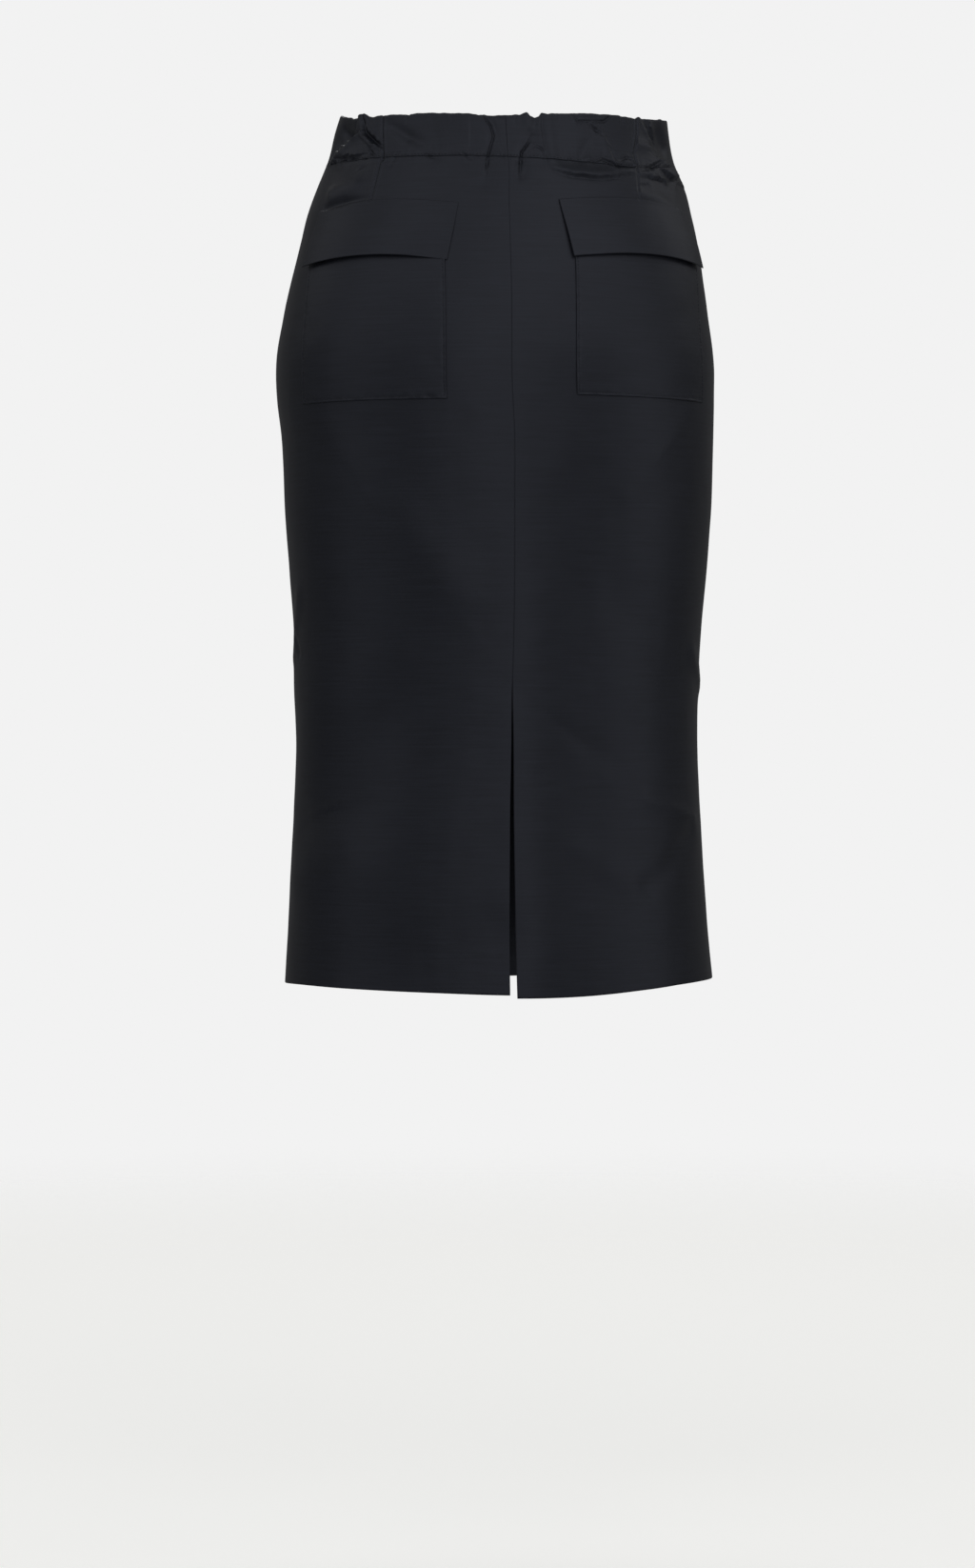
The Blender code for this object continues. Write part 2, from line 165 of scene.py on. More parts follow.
OUTLINE = Table(
    ("drop", "half_width", "back_depth", "front_depth", "sway", "squareness"),
    (
        (0.000, 0.1365, 0.0940, 0.0930, 0.0000, 0.000),
        (0.015, 0.1400, 0.0955, 0.0940, 0.0015, 0.000),
        (0.040, 0.1460, 0.0995, 0.0970, 0.0020, 0.004),
        (0.062, 0.1545, 0.1055, 0.1010, 0.0020, 0.010),
        (0.086, 0.1615, 0.1120, 0.1050, 0.0035, 0.016),
        (0.110, 0.1670, 0.1175, 0.1080, 0.0040, 0.020),
        (0.143, 0.1735, 0.1235, 0.1120, 0.0055, 0.024),
        (0.175, 0.1790, 0.1275, 0.1140, 0.0070, 0.026),
        (0.206, 0.1835, 0.1300, 0.1160, 0.0075, 0.026),
        (0.240, 0.1835, 0.1300, 0.1170, 0.0070, 0.026),
        (0.270, 0.1815, 0.1290, 0.1180, 0.0055, 0.024),
        (0.334, 0.1790, 0.1255, 0.1180, 0.0050, 0.020),
        (0.382, 0.1755, 0.1230, 0.1180, 0.0050, 0.018),
        (0.430, 0.1715, 0.1210, 0.1180, 0.0055, 0.016),
        (0.480, 0.1700, 0.1200, 0.1180, 0.0065, 0.016),
        (0.530, 0.1690, 0.1195, 0.1180, 0.0060, 0.016),
        (0.590, 0.1715, 0.1205, 0.1180, 0.0060, 0.016),
        (0.640, 0.1740, 0.1220, 0.1190, 0.0055, 0.018),
        (0.686, 0.1770, 0.1240, 0.1200, 0.0050, 0.018),
        (0.735, 0.1810, 0.1250, 0.1210, 0.0040, 0.018),
    ),
)
# The elastic pulls the back seam towards the wearer's left at the waist.
DRIFT = Table(
    ("drop", "shift"),
    (
        (0.000, 0.0085),
        (0.060, 0.0055),
        (0.120, 0.0035),
        (0.170, 0.0005),
        (0.240, 0.0000),
        (0.735, 0.0000),
    ),
)
WAIST_EDGE = Table(
    ("turn", "drop"),
    (
        (-1.00, 0.0025),
        (-0.86, 0.0063),
        (-0.77, 0.0083),
        (-0.70, 0.0096),
        (-0.62, 0.0108),
        (-0.53, 0.0103),
        (-0.35, 0.0114),
        (-0.23, 0.0127),
        (-0.17, 0.0131),
        (-0.13, 0.0160),
        (-0.10, 0.0137),
        (0.00, 0.0147),
        (0.08, 0.0152),
        (0.16, 0.0139),
        (0.26, 0.0130),
        (0.40, 0.0117),
        (0.44, 0.0126),
        (0.52, 0.0116),
        (0.65, 0.0114),
        (0.70, 0.0078),
        (0.73, 0.0083),
        (0.77, 0.0099),
        (0.85, 0.0072),
        (1.00, 0.0025),
        (1.30, 0.0052),
        (1.48, 0.0074),
        (1.55, 0.0058),
        (2.00, 0.0085),
        (2.35, 0.0080),
        (2.42, 0.0056),
        (2.60, 0.0052),
        (3.00, 0.0025),
    ),
)
# Small tufts and nicks that the gathers leave in the casing's top edge at the back, in millimetres:
# how far across from the back seam, half width, and how far up.
EDGE_NICKS = (
    (150, 4.0, 0.8),
    (138, 2.5, -1.0),
    (111, 4.5, 1.0),
    (69, 4.0, -0.7),
    (57, 4.0, -0.4),
    (23, 1.8, -0.7),
    (18.5, 1.8, 0.8),
    (-5, 4.0, -1.0),
    (-12, 2.8, -1.6),
    (-18, 1.7, 0.9),
    (-21, 1.2, -0.6),
    (-25, 2.6, -0.5),
    (-28.4, 1.3, -0.9),
    (-30.6, 1.3, 0.8),
    (-36, 2.5, -0.8),
    (-81, 6.0, -0.5),
    (-102, 2.0, -0.5),
    (-114.5, 1.8, -0.8),
    (-118.5, 2.2, 1.2),
    (-150, 4.0, 0.8),
)
STITCH_LINE = Table(
    ("turn", "drop"),
    (
        (-1.00, 0.0470),
        (-0.75, 0.0487),
        (-0.55, 0.0530),
        (-0.30, 0.0518),
        (0.00, 0.0496),
        (0.37, 0.0481),
        (0.72, 0.0466),
        (1.00, 0.0455),
        (1.50, 0.0475),
        (2.00, 0.0490),
        (2.50, 0.0480),
        (3.00, 0.0470),
    ),
)
HEM = Table(
    ("turn", "drop"),
    (
        (-1.00, 0.7235),
        (-0.74, 0.7239),
        (-0.49, 0.7267),
        (-0.25, 0.7296),
        (0.00, 0.7301),
        (0.30, 0.7282),
        (0.58, 0.7263),
        (0.80, 0.7254),
        (1.00, 0.7265),
        (1.50, 0.7285),
        (2.00, 0.7300),
        (2.50, 0.7270),
        (3.00, 0.7235),
    ),
)


def signed_turn(turn: Array) -> Array:
    """The turn from the back seam, from -2 to 2."""
    return (turn + 2.0) % 4.0 - 2.0


@dataclass(frozen=True)
class WornForm:
    """The smooth surface that the cloth lies on, without its folds."""

    outline: Table = OUTLINE
    drift: Table = DRIFT
    waist_edge: Table = WAIST_EDGE
    stitch_line: Table = STITCH_LINE
    hem: Table = HEM
    normal_step: float = 0.002
    slit_top: float = 0.474
    slit_foot: float = 0.731
    slit_left: float = 0.0045
    slit_right: float = 0.0012
    slit_spread: float = 0.8
    slit_droop: float = 0.0024
    slit_droop_reach: float = 0.6

    def quarter_girth(self, drop: Array) -> Array:
        """Length of cloth from the back seam to a side seam.

        Args:
            drop: how far below the origin.

        Returns:
            The length at each depth.
        """
        width = self.outline.at("half_width", drop)
        depth = self.outline.at("back_depth", drop)
        flatness = (width - depth) / (width + depth)
        squareness = self.outline.at("squareness", drop)
        return np.pi / 4 * (width + depth) * (1 + flatness**2 / 4) * (1 + squareness / 2)

    def plain(self, turn: Array, drop: Array) -> Array:
        """Places on the form.

        Args:
            turn: how far round, in quarters.
            drop: how far below the origin.

        Returns:
            The points, with x, y and z on the last axis.
        """
        turn = signed_turn(turn)
        back_share = np.clip(1.0 - turn**2, 0.0, 1.0)
        turn = turn + back_share * self.drift.at("shift", drop) / self.quarter_girth(drop)
        behind = np.abs(turn) <= 1.0
        width = self.outline.at("half_width", drop)
        depth = np.where(
            behind,
            self.outline.at("back_depth", drop),
            self.outline.at("front_depth", drop),
        )
        flatness = (width - depth) / (width + depth)
        from_side = np.abs(np.abs(turn) - 1.0)
        angle = np.pi / 2 * from_side + flatness / 2 * np.sin(np.pi * from_side)
        bulge = 1.0 + self.outline.at("squareness", drop) * np.sin(2 * angle) ** 2
        across = self.outline.at("sway", drop) + np.sign(turn) * width * np.cos(angle) * bulge
        to_the_back = np.where(behind, 1.0, -1.0) * depth * np.sin(angle) * bulge
        return np.stack([across, to_the_back, -drop], axis=-1)

    def outward(self, turn: Array, drop: Array) -> Array:
        """Directions square to the form, pointing out.

        Args:
            turn: how far round, in quarters.
            drop: how far below the origin.

        Returns:
            The directions, with x, y and z on the last axis.
        """
        step = self.normal_step
        round_it = self.plain(turn + step, drop) - self.plain(turn - step, drop)
        down_it = self.plain(turn, drop + step) - self.plain(turn, drop - step)
        normal = np.cross(round_it, down_it)
        return normal / np.linalg.norm(normal, axis=-1, keepdims=True)

    def lay(self, turn: Array, drop: Array, height: Array) -> Array:
        """Places at a height above the form."""
        return self.plain(turn, drop) + self.outward(turn, drop) * np.asarray(height)[..., None]

    def slit_share(self, drop: Array) -> Array:
        """How far the slit has opened at a depth, from 0 at its top to 1 at the hem."""
        depth = (drop - self.slit_top) / (self.slit_foot - self.slit_top)
        return np.clip(depth, 0.0, 1.0) ** self.slit_spread

    def hem_drop(self, turn: Array) -> Array:
        """Depth of the hem. The right back panel hangs a little lower at the slit."""
        reach = np.clip(1.0 - (turn / self.slit_droop_reach) ** 2, 0.0, 1.0)
        return self.hem.at("drop", turn) + np.where(turn < 0.0, self.slit_droop * reach, 0.0)


# ---------------------------------------------------------------- creases


class Profile(Enum):
    """The section of a crease."""

    SOFT = "soft"
    PINCH = "pinch"
    LIP = "lip"


@dataclass(frozen=True)
class Crease:
    """A fold along a path of straight legs.

    Its path has rows of four numbers, in millimetres: how far across from the seam, how far down, half the
    width there, and the height there, which is negative in a trough. A lip stands proud on the side that
    lies to the right of someone who walks along the path on the cloth, head towards its face. The sizes
    of its section are in half widths and in shares of its height.
    """

    name: str
    profile: Profile
    path: tuple[tuple[float, float, float, float], ...]
    valley_steepness: float = 1.6
    valley_rounding: float = 0.02
    valley_lift: float = 0.226
    shoulder_place: float = 1.7
    shoulder_reach: float = 0.8
    shoulder_share: float = 0.30
    step_steepness: float = 3.2
    step_top: float = 0.5
    step_reach: float = 2.3
    dip_place: float = 0.55
    dip_reach: float = 0.6
    dip_share: float = 0.30

    def section(self, gap: Array) -> Array:
        """The section of the crease, as a share of its height.

        Args:
            gap: distance to its line in half widths, positive on its proud side.

        Returns:
            The share of the height.
        """
        if self.profile is Profile.SOFT:
            return np.exp(-(gap**2))
        if self.profile is Profile.PINCH:
            from_line = np.sqrt(gap**2 + self.valley_rounding)
            valley = np.exp(-self.valley_steepness * from_line + self.valley_lift)
            past_shoulder = (np.abs(gap) - self.shoulder_place) / self.shoulder_reach
            return valley - self.shoulder_share * np.exp(-(past_shoulder**2))
        step = 0.5 * (1.0 + np.tanh(self.step_steepness * gap))
        past_step = np.maximum(gap - self.step_top, 0.0) / self.step_reach
        past_dip = (gap + self.dip_place) / self.dip_reach
        return step * np.exp(-(past_step**2)) - self.dip_share * np.exp(-(past_dip**2))

    def height(self, across: Array, drop: Array) -> Array:
        """Height of the crease. Of its legs, the stronger counts.

        Args:
            across: places across from the seam, in metres.
            drop: places below the origin, in metres.

        Returns:
            The height at each place, in metres.
        """
        total = np.zeros(np.shape(across))
        for start, end in zip(self.path[:-1], self.path[1:]):
            run_across = (end[0] - start[0]) * MILLIMETRE
            run_down = (end[1] - start[1]) * MILLIMETRE
            past_across = across - start[0] * MILLIMETRE
            past_down = drop - start[1] * MILLIMETRE
            run_squared = run_across**2 + run_down**2
            share = np.clip((past_across * run_across + past_down * run_down) / run_squared, 0.0, 1.0)
            gap = np.hypot(past_across - share * run_across, past_down - share * run_down)
            side = np.where(run_across * past_down - run_down * past_across > 0.0, -1.0, 1.0)
            width = mix(start[2], end[2], share) * MILLIMETRE
            leg = mix(start[3], end[3], share) * MILLIMETRE * self.section(side * gap / width)
            total = np.where(np.abs(leg) > np.abs(total), leg, total)
        return total


def soft(name: str, *path: tuple[float, float, float, float]) -> Crease:
    """A rounded roll or trough."""
    return Crease(name, Profile.SOFT, path)


def pinch(name: str, *path: tuple[float, float, float, float]) -> Crease:
    """A sharp valley between two raised shoulders, or with a positive height a sharp ridge."""
    return Crease(name, Profile.PINCH, path)


def lip(name: str, *path: tuple[float, float, float, float]) -> Crease:
    """A fold that steps up on its proud side and dies away slowly behind the step."""
    return Crease(name, Profile.LIP, path)


# Across is measured from the back seam towards the wearer's left.
CASING_CREASES = (
    lip(
        "left side fold",
        (142, 27, 5.0, 0.0),
        (150, 31, 6.5, -7.0),
        (160, 35, 7.0, -6.0),
        (177, 41, 7.0, -0.6),
    ),
    soft("left side hollow", (160, 18, 6.0, -2.0), (150, 26, 6.0, -3.2)),
    lip("left side edge", (145, 32, 2.6, 0.0), (139, 22, 3.0, 2.0), (136, 11, 3.0, 1.0)),
    pinch(
        "left tuck",
        (130, 9, 2.0, -1.4),
        (125, 24, 2.7, -3.2),
        (116, 32, 2.5, -3.6),
        (108, 38, 1.8, -1.2),
    ),
    soft("left top bump", (127, 9, 3.0, 1.2), (125, 13, 3.0, 0.8)),
    pinch("left tick", (121, 38, 1.3, -0.2), (117, 43, 1.6, -1.4), (113, 47, 1.3, -0.2)),
    pinch("left dart", (107, 10, 1.1, -1.5), (106, 50, 1.1, -1.5)),
    soft("left hook", (104, 18, 4.0, -0.6), (91, 26, 4.6, -1.7), (82, 32, 5.0, -2.2), (69, 39, 4.0, -0.4)),
    pinch("left top notch", (82, 9, 1.6, -1.8), (85, 20, 1.3, -0.2)),
    pinch("left first tick", (71, 46, 1.1, -0.1), (66, 49, 1.4, -1.4), (60, 51, 1.1, -0.1)),
    pinch("left second tick", (40, 46, 1.1, -0.1), (35, 50, 1.4, -1.0), (29, 53, 1.1, -0.1)),
    pinch("left cross tick", (91, 42, 1.1, -0.1), (96, 50, 1.5, -1.6), (100, 57, 1.1, -0.2)),
    soft("left ease", (62, 16, 5.0, -0.8), (58, 49, 5.0, -0.8)),
    soft("left roll", (36, 12, 5.0, 0.5), (38, 49, 5.0, 0.5)),
    lip("left crest", (30, 15, 1.2, 0.0), (31, 30, 1.3, 0.35), (32, 49, 1.2, 0.0)),
    lip(
        "left stitch fold",
        (178, 48, 6.0, -0.4),
        (162, 45, 6.5, -2.4),
        (146, 44, 6.0, -2.8),
        (130, 46, 3.8, -1.5),
        (116, 48, 1.8, 0.0),
    ),
    pinch("left under tuck", (133, 57, 1.2, -0.1), (127, 53.5, 1.4, -1.1), (120, 51, 1.2, -0.1)),
    soft("left of seam", (17, 12, 3.5, -0.6), (10, 28, 3.5, -0.6), (17, 50, 3.5, -0.6)),
    pinch(
        "left of seam line",
        (20, 14, 1.1, -1.1),
        (13, 25, 1.1, -1.3),
        (11, 33, 1.1, -1.3),
        (17, 49, 1.2, -1.3),
        (18.5, 57, 1.4, -1.9),
        (20, 68, 1.4, -0.2),
    ),
    soft("left top hollow", (17, 15, 2.6, -1.1), (2, 15, 2.6, -1.1)),
    soft("right bump", (-17, 11, 4.0, 1.0), (-19, 24, 4.0, 0.8)),
    soft("right top hollow", (-26, 13, 2.3, -1.8), (-25, 23, 2.0, -0.4)),
    soft("right of seam", (-23, 32, 3.5, -0.6), (-12, 45, 3.5, -0.8), (-10, 53, 3.5, -0.8)),
    pinch(
        "right of seam line",
        (-23, 31, 1.0, -0.2),
        (-17, 40, 1.1, -1.4),
        (-12, 46, 1.1, -1.5),
        (-10.5, 55, 1.4, -1.9),
        (-9.5, 62, 1.4, -1.6),
        (-9, 70, 1.3, -0.1),
    ),
    pinch(
        "right hook by seam",
        (-21, 42, 0.9, 0.0),
        (-25, 41, 1.1, -0.5),
        (-29, 43, 1.1, -0.9),
        (-32, 49, 1.0, -0.9),
        (-35, 55, 0.9, -0.1),
    ),
    soft("right roll", (-36, 12, 5.0, 1.0), (-38, 51, 5.0, 1.0)),
    lip(
        "right roll crest",
        (-30, 12, 1.7, 0.5),
        (-30, 30, 1.9, 0.8),
        (-32, 45, 1.8, 0.7),
        (-33, 53, 1.5, 0.0),
    ),
    pinch(
        "right top triangle",
        (-57, 11, 0.9, -0.4),
        (-61, 19, 1.1, -0.9),
        (-74, 18, 1.0, -0.5),
        (-84, 17.5, 1.4, -1.2),
        (-93, 10, 1.2, -0.8),
    ),
    soft("right top fold", (-68, 12, 3.6, 0.6), (-84, 11, 3.6, 0.6)),
    pinch("right crest shade", (-70, 19, 1.3, -0.2), (-77, 25, 1.7, -1.4), (-83, 29, 1.3, -0.2)),
    lip("right crest", (-77, 24, 1.8, 0.0), (-86, 33, 2.4, 0.8), (-89, 43, 2.4, 0.8), (-92, 53, 1.8, 0.0)),
    soft("right ease", (-68, 37, 4.5, -0.9), (-62, 50, 4.5, -0.9)),
    pinch(
        "right dart",
        (-116, 10, 1.0, -0.9),
        (-116, 24, 1.0, -0.9),
        (-111, 41, 1.0, -0.9),
        (-112.5, 51, 1.0, -0.9),
    ),
    pinch("right dart edge", (-114, 10, 1.0, 0.6), (-113.8, 24, 1.0, 0.6), (-109, 41, 1.0, 0.4)),
    soft("right side roll", (-117, 34, 4.0, 1.0), (-127, 34, 5.0, 1.2)),
    lip(
        "right side fold",
        (-178, 51, 7.0, -0.6),
        (-161, 47, 7.5, -4.6),
        (-148, 41, 7.0, -5.2),
        (-133, 33, 4.5, 0.0),
    ),
    soft("right side hollow", (-145, 20, 8.0, -3.0), (-158, 30, 8.0, -2.4)),
    pinch("right side tuck", (-123, 10, 2.4, -0.8), (-133, 22, 3.2, -2.2), (-143, 31, 2.6, -0.6)),
    pinch(
        "right stitch tuck",
        (-54, 52, 0.9, -0.1),
        (-74, 51.5, 1.2, -0.9),
        (-80, 49, 1.2, -0.9),
        (-88, 52, 1.6, -1.9),
        (-94, 54, 1.9, -2.6),
        (-109, 53, 1.4, -1.0),
    ),
    pinch("right far stitch tuck", (-112, 56, 1.3, -0.4), (-128, 52, 2.1, -2.6), (-144, 44, 1.6, -0.4)),
    soft("right stitch knot", (-112, 51, 1.7, 1.4), (-111, 53, 1.7, 1.2)),
    pinch("right stitch arc", (-95, 50, 1.0, -0.1), (-103, 46, 1.3, -1.3), (-111, 48, 1.0, -0.1)),
    pinch("top gather one", (64, 11, 1.2, -0.6), (65, 17, 1.4, -0.1)),
    pinch("top gather two", (47, 12, 1.1, -0.5), (46, 19, 1.3, -0.1)),
    pinch("top gather three", (-9, 13, 1.2, -0.5), (-8, 22, 1.4, -0.1)),
    pinch("top gather four", (-46, 11, 1.1, -0.4), (-45, 18, 1.3, -0.1)),
    pinch("top gather five", (-100, 9, 1.3, -0.7), (-101, 17, 1.4, -0.1)),
)
BACK_CREASES = (
    soft("left tail", (17, 50, 5.0, -1.2), (20, 72, 5.0, -0.6)),
    soft("right tail", (-11, 53, 5.0, -1.2), (-11, 64, 5.0, -0.9)),
    lip(
        "right sag fold",
        (-110, 57.5, 1.8, 0.0),
        (-104, 60, 2.2, 1.2),
        (-88, 63.5, 2.6, 2.4),
        (-72, 65, 2.6, 2.5),
        (-54, 64, 2.4, 2.2),
        (-40, 60.5, 2.0, 1.2),
        (-31, 57, 1.6, 0.0),
    ),
    pinch(
        "left dart",
        (106.5, 49, 1.2, -1.3),
        (109, 50, 1.2, -1.3),
        (113, 66, 1.2, -1.3),
        (116.5, 84, 1.2, -1.1),
    ),
    pinch("right dart", (-112.5, 50, 1.1, -0.7), (-112.7, 82, 1.1, -0.5)),
    lip(
        "right hip fold",
        (-111, 69, 2.5, 0.0),
        (-127, 65, 5.0, -2.2),
        (-148, 60, 9.0, -4.0),
        (-164, 60, 9.0, -3.0),
        (-180, 66, 9.0, -0.4),
    ),
    soft("right hip swell", (-114, 75, 4.5, 1.0), (-136, 77, 6.0, 1.2), (-160, 84, 6.0, 0.8)),
    soft("left flap hollow", (168, 87, 2.6, -1.2), (144, 83.5, 3.4, -2.6), (117, 81.5, 1.8, -0.5)),
    soft("left hip roll", (134, 70, 8.0, 1.8), (160, 75, 8.0, 2.4)),
    soft(
        "under left pocket",
        (171, 250, 15, 0.8),
        (139, 300, 20, 1.2),
        (79, 366, 24, 1.5),
        (44, 402, 22, 0.9),
    ),
    soft("under right pocket", (-166, 252, 12.0, 0.7), (-98, 325, 12.0, 0.7)),
    soft("left thigh", (112, 392, 24.0, -0.8), (70, 436, 26.0, -1.2)),
    soft("right thigh", (-92, 400, 24.0, -1.0), (-150, 470, 24.0, -1.4)),
    soft(
        "left knee hollow",
        (30, 440, 26, -0.6),
        (98, 498, 40, -4.0),
        (140, 560, 42, -5.0),
        (188, 586, 32, -3.6),
    ),
    soft("left seam pinch", (226, 455, 8.0, 1.2), (205, 405, 8.0, 1.2)),
    soft("right seam pinch", (-180, 452, 8.0, 1.6), (-212, 478, 8.0, 1.6)),
    soft("right knee ridge", (-119, 572, 9.0, 1.0), (-182, 590, 9.0, 1.6)),
    soft("right knee below", (-176, 599, 10.0, -1.4), (-120, 643, 10.0, -1.0)),
    soft("right calf", (-54, 611, 12.0, 0.5), (-100, 639, 12.0, 0.6)),
    soft("slit drag", (-8, 484, 11.0, -0.4), (-84, 542, 11.0, -0.5)),
    # Finer drags that only the cloth shows.
    lip("slit top drag", (-84, 542, 9.0, 0.0), (-34, 503, 6.0, 0.25), (-4, 480, 4.0, 0.0)),
    lip("left pocket drag", (78, 390, 8.0, 0.0), (118, 333, 9.0, 0.25), (171, 254, 6.0, 0.0)),
    lip("right pocket drag", (-168, 250, 6.0, 0.0), (-134, 287, 8.0, 0.2), (-48, 357, 10.0, 0.0)),
    lip("left knee fold", (216, 596, 4.0, 0.0), (160, 580, 5.0, -0.9), (100, 566, 7.0, 0.0)),
    pinch("right knee line", (-119, 573, 4.0, 0.2), (-147, 580, 4.0, 0.5), (-180, 589, 4.0, 0.7)),
    soft("left shin swell", (205, 640, 26.0, 2.4), (140, 625, 28.0, 2.0)),
    soft("left hem hollow", (180, 712, 26.0, -0.6), (75, 702, 34.0, -3.2), (22, 684, 30.0, -2.8)),
    soft(
        "seam roof",
        (-8, 330, 30.0, 0.8),
        (-16, 440, 36.0, 3.0),
        (-20, 600, 40.0, 4.2),
        (-24, 735, 44.0, 3.6),
    ),
    pinch("left side nick", (206, 452, 3.0, -0.8), (222, 430, 3.0, -1.0)),
    pinch("right side nick", (-204, 470, 3.0, -0.9), (-188, 456, 3.0, -0.4)),
)
# The same, measured from the middle of the front towards the wearer's left.
FRONT_CREASES = (
    soft("right hip drag", (-150, 62, 9.0, -1.4), (-112, 92, 9.0, -1.4)),
    soft("left hip drag", (154, 66, 8.0, -1.4), (118, 88, 8.0, -1.4)),
    soft("right lap", (-128, 120, 14.0, -1.4), (-60, 158, 14.0, -1.4)),
    soft("left lap", (124, 128, 13.0, -1.5), (52, 162, 13.0, -1.5)),
    soft("right thigh", (-70, 390, 26.0, -2.0), (-150, 500, 26.0, -2.0)),
    soft("left thigh", (78, 410, 24.0, -1.8), (146, 480, 24.0, -1.8)),
    soft("right knee ridge", (-206, 596, 10.0, 1.6), (-128, 578, 10.0, 1.6)),
    soft("left knee ridge", (196, 586, 11.0, 1.7), (110, 570, 11.0, 1.7)),
    soft("right knee below", (-190, 660, 14.0, -1.3), (-96, 634, 14.0, -1.3)),
    soft("left knee below", (176, 650, 13.0, -1.2), (84, 626, 13.0, -1.2)),
    # Finer drags that only the cloth shows.
    pinch("right waist drag", (-34, 52, 1.6, -1.0), (-38, 74, 2.2, -0.2)),
    pinch("left waist drag", (26, 52, 1.5, -0.9), (31, 70, 2.0, -0.2)),
    pinch("far right waist drag", (-96, 51, 1.6, -0.9), (-86, 78, 2.2, -0.2)),
    pinch("far left waist drag", (88, 52, 1.6, -1.0), (82, 72, 2.2, -0.2)),
    lip("left front sag", (112, 60, 2.2, 0.0), (80, 68, 2.8, 1.1), (44, 60, 2.2, 0.0)),
    lip("right front sag", (-50, 58, 2.0, 0.0), (-84, 66, 2.6, 1.0), (-120, 62, 2.0, 0.0)),
    lip("right lap fold", (-132, 118, 5.0, 0.0), (-94, 140, 7.0, 0.8), (-50, 162, 6.0, 0.0)),
    lip("left lap fold", (56, 166, 6.0, 0.0), (92, 146, 7.0, 0.9), (130, 124, 5.0, 0.0)),
    lip("right front knee fold", (-206, 592, 5.0, 0.0), (-160, 584, 7.0, 1.1), (-110, 574, 8.0, 0.0)),
    lip("left front knee fold", (100, 566, 8.0, 0.0), (150, 574, 7.0, 1.0), (200, 590, 5.0, 0.0)),
    soft("front hem roll", (-40, 640, 18.0, 0.9), (-30, 726, 24.0, 1.4)),
    soft("front hem hollow", (60, 650, 20.0, -0.8), (54, 726, 26.0, -1.4)),
)


@dataclass(frozen=True)
class Wave:
    """An even waviness: its wave lengths across and downwards in metres, which one it is, and its share."""

    wide: float
    tall: float
    seed: float
    share: float = 1.0

    def at(self, across: Array, drop: Array) -> Array:
        """Its height at each place."""
        return self.share * ripple(across, drop, self.wide, self.tall, self.seed)


@dataclass(frozen=True)
class Relief:
    """The height of the cloth's outer face above the form."""

    form: WornForm
    front_casing_share: float = 0.7
    front_casing_foot: float = 0.060
    slit_proud: float = 0.0020
    slit_proud_reach: float = 0.045
    stitch_groove: float = 0.00018
    stitch_groove_reach: float = 0.0011
    groove_level: float = 0.40
    groove_wave: Wave = Wave(0.0085, 0.060, 4.6, 1.6)
    folds_held: float = 0.35
    waves_held: float = 0.6
    casing_puff: float = 0.0001
    puff_reach: float = 0.012
    pucker: float = 0.00040
    pucker_reach: float = 0.0060
    gathers: tuple[Wave, ...] = (Wave(0.0042, 0.030, 3.1), Wave(0.0021, 0.020, 8.7, 0.6))
    waviness: float = 0.0003
    waves: tuple[Wave, ...] = (Wave(0.034, 0.046, 1.7), Wave(0.016, 0.020, 5.3, 0.5))

    def folds(self, turn: Array, drop: Array) -> Array:
        """Height of the placed creases of the casing and the panels together.

        Args:
            turn: how far round, in quarters.
            drop: how far below the origin.

        Returns:
            The height at each place. The front casing takes up the back's creases, milder and turned round.
        """
        girth = self.form.quarter_girth(drop)
        behind = signed_turn(turn) * girth
        before = signed_turn(2.0 - turn) * girth
        opposite = signed_turn(turn + 2.0) * girth
        on_casing = drop < self.front_casing_foot
        total = np.zeros(np.shape(drop))
        for crease in CASING_CREASES:
            total += crease.height(behind, drop)
            total += self.front_casing_share * crease.height(opposite, drop) * on_casing
        for crease in BACK_CREASES:
            total += crease.height(behind, drop)
        for crease in FRONT_CREASES:
            total += crease.height(before, drop)
        proud = self.slit_proud * self.form.slit_share(drop)
        proud = proud * np.exp(-((behind / self.slit_proud_reach) ** 2))
        on_right = (signed_turn(turn) < 0.0) & (signed_turn(turn) > -1.0)
        return total + np.where(on_right, proud, 0.0)

    def at(self, turn: Array, drop: Array) -> Array:
        """Height of the cloth, with its folds, the groove at the casing's stitches and its waviness.

        Args:
            turn: how far round, in quarters.
            drop: how far below the origin.

        Returns:
            The height at each place.
        """
        across = turn * self.form.quarter_girth(drop)
        below = drop - self.form.stitch_line.at("drop", turn)
        near_stitches = np.exp(-((below / self.stitch_groove_reach) ** 2))
        pulled = np.exp(-np.abs(below) / self.pucker_reach)
        gathers = sum(wave.at(across, drop) for wave in self.gathers)
        waves = sum(wave.at(across, drop) for wave in self.waves)
        uneven = rise(self.groove_level + self.groove_wave.at(across, drop))
        height = self.folds(turn, drop) * (1.0 - self.folds_held * near_stitches)
        height = height + self.casing_puff * rise(-below / self.puff_reach)
        height = height + self.waviness * waves * (1.0 - self.waves_held * near_stitches)
        return height - self.stitch_groove * near_stitches * uneven + self.pucker * gathers * pulled


# ---------------------------------------------------------------- finishes


def add_node(
    tree: bpy.types.NodeTree,
    kind: str,
    settings: dict[str | int, Any] | None = None,
    links: dict[str | int, bpy.types.NodeSocket] | None = None,
) -> bpy.types.Node:
    """Adds a node to a material.

    Args:
        tree: the material's node tree.
        kind: the node's type.
        settings: values of its properties, by name, and of its input sockets, by name or number.
        links: the output that feeds each of its input sockets, by name or number.

    Returns:
        The node.
    """
    node = tree.nodes.new(kind)
    for name, value in (settings or {}).items():
        if isinstance(name, int) or name in node.inputs:
            node.inputs[name].default_value = value
        else:
            setattr(node, name, value)
    for name, output in (links or {}).items():
        tree.links.new(output, node.inputs[name])
    return node


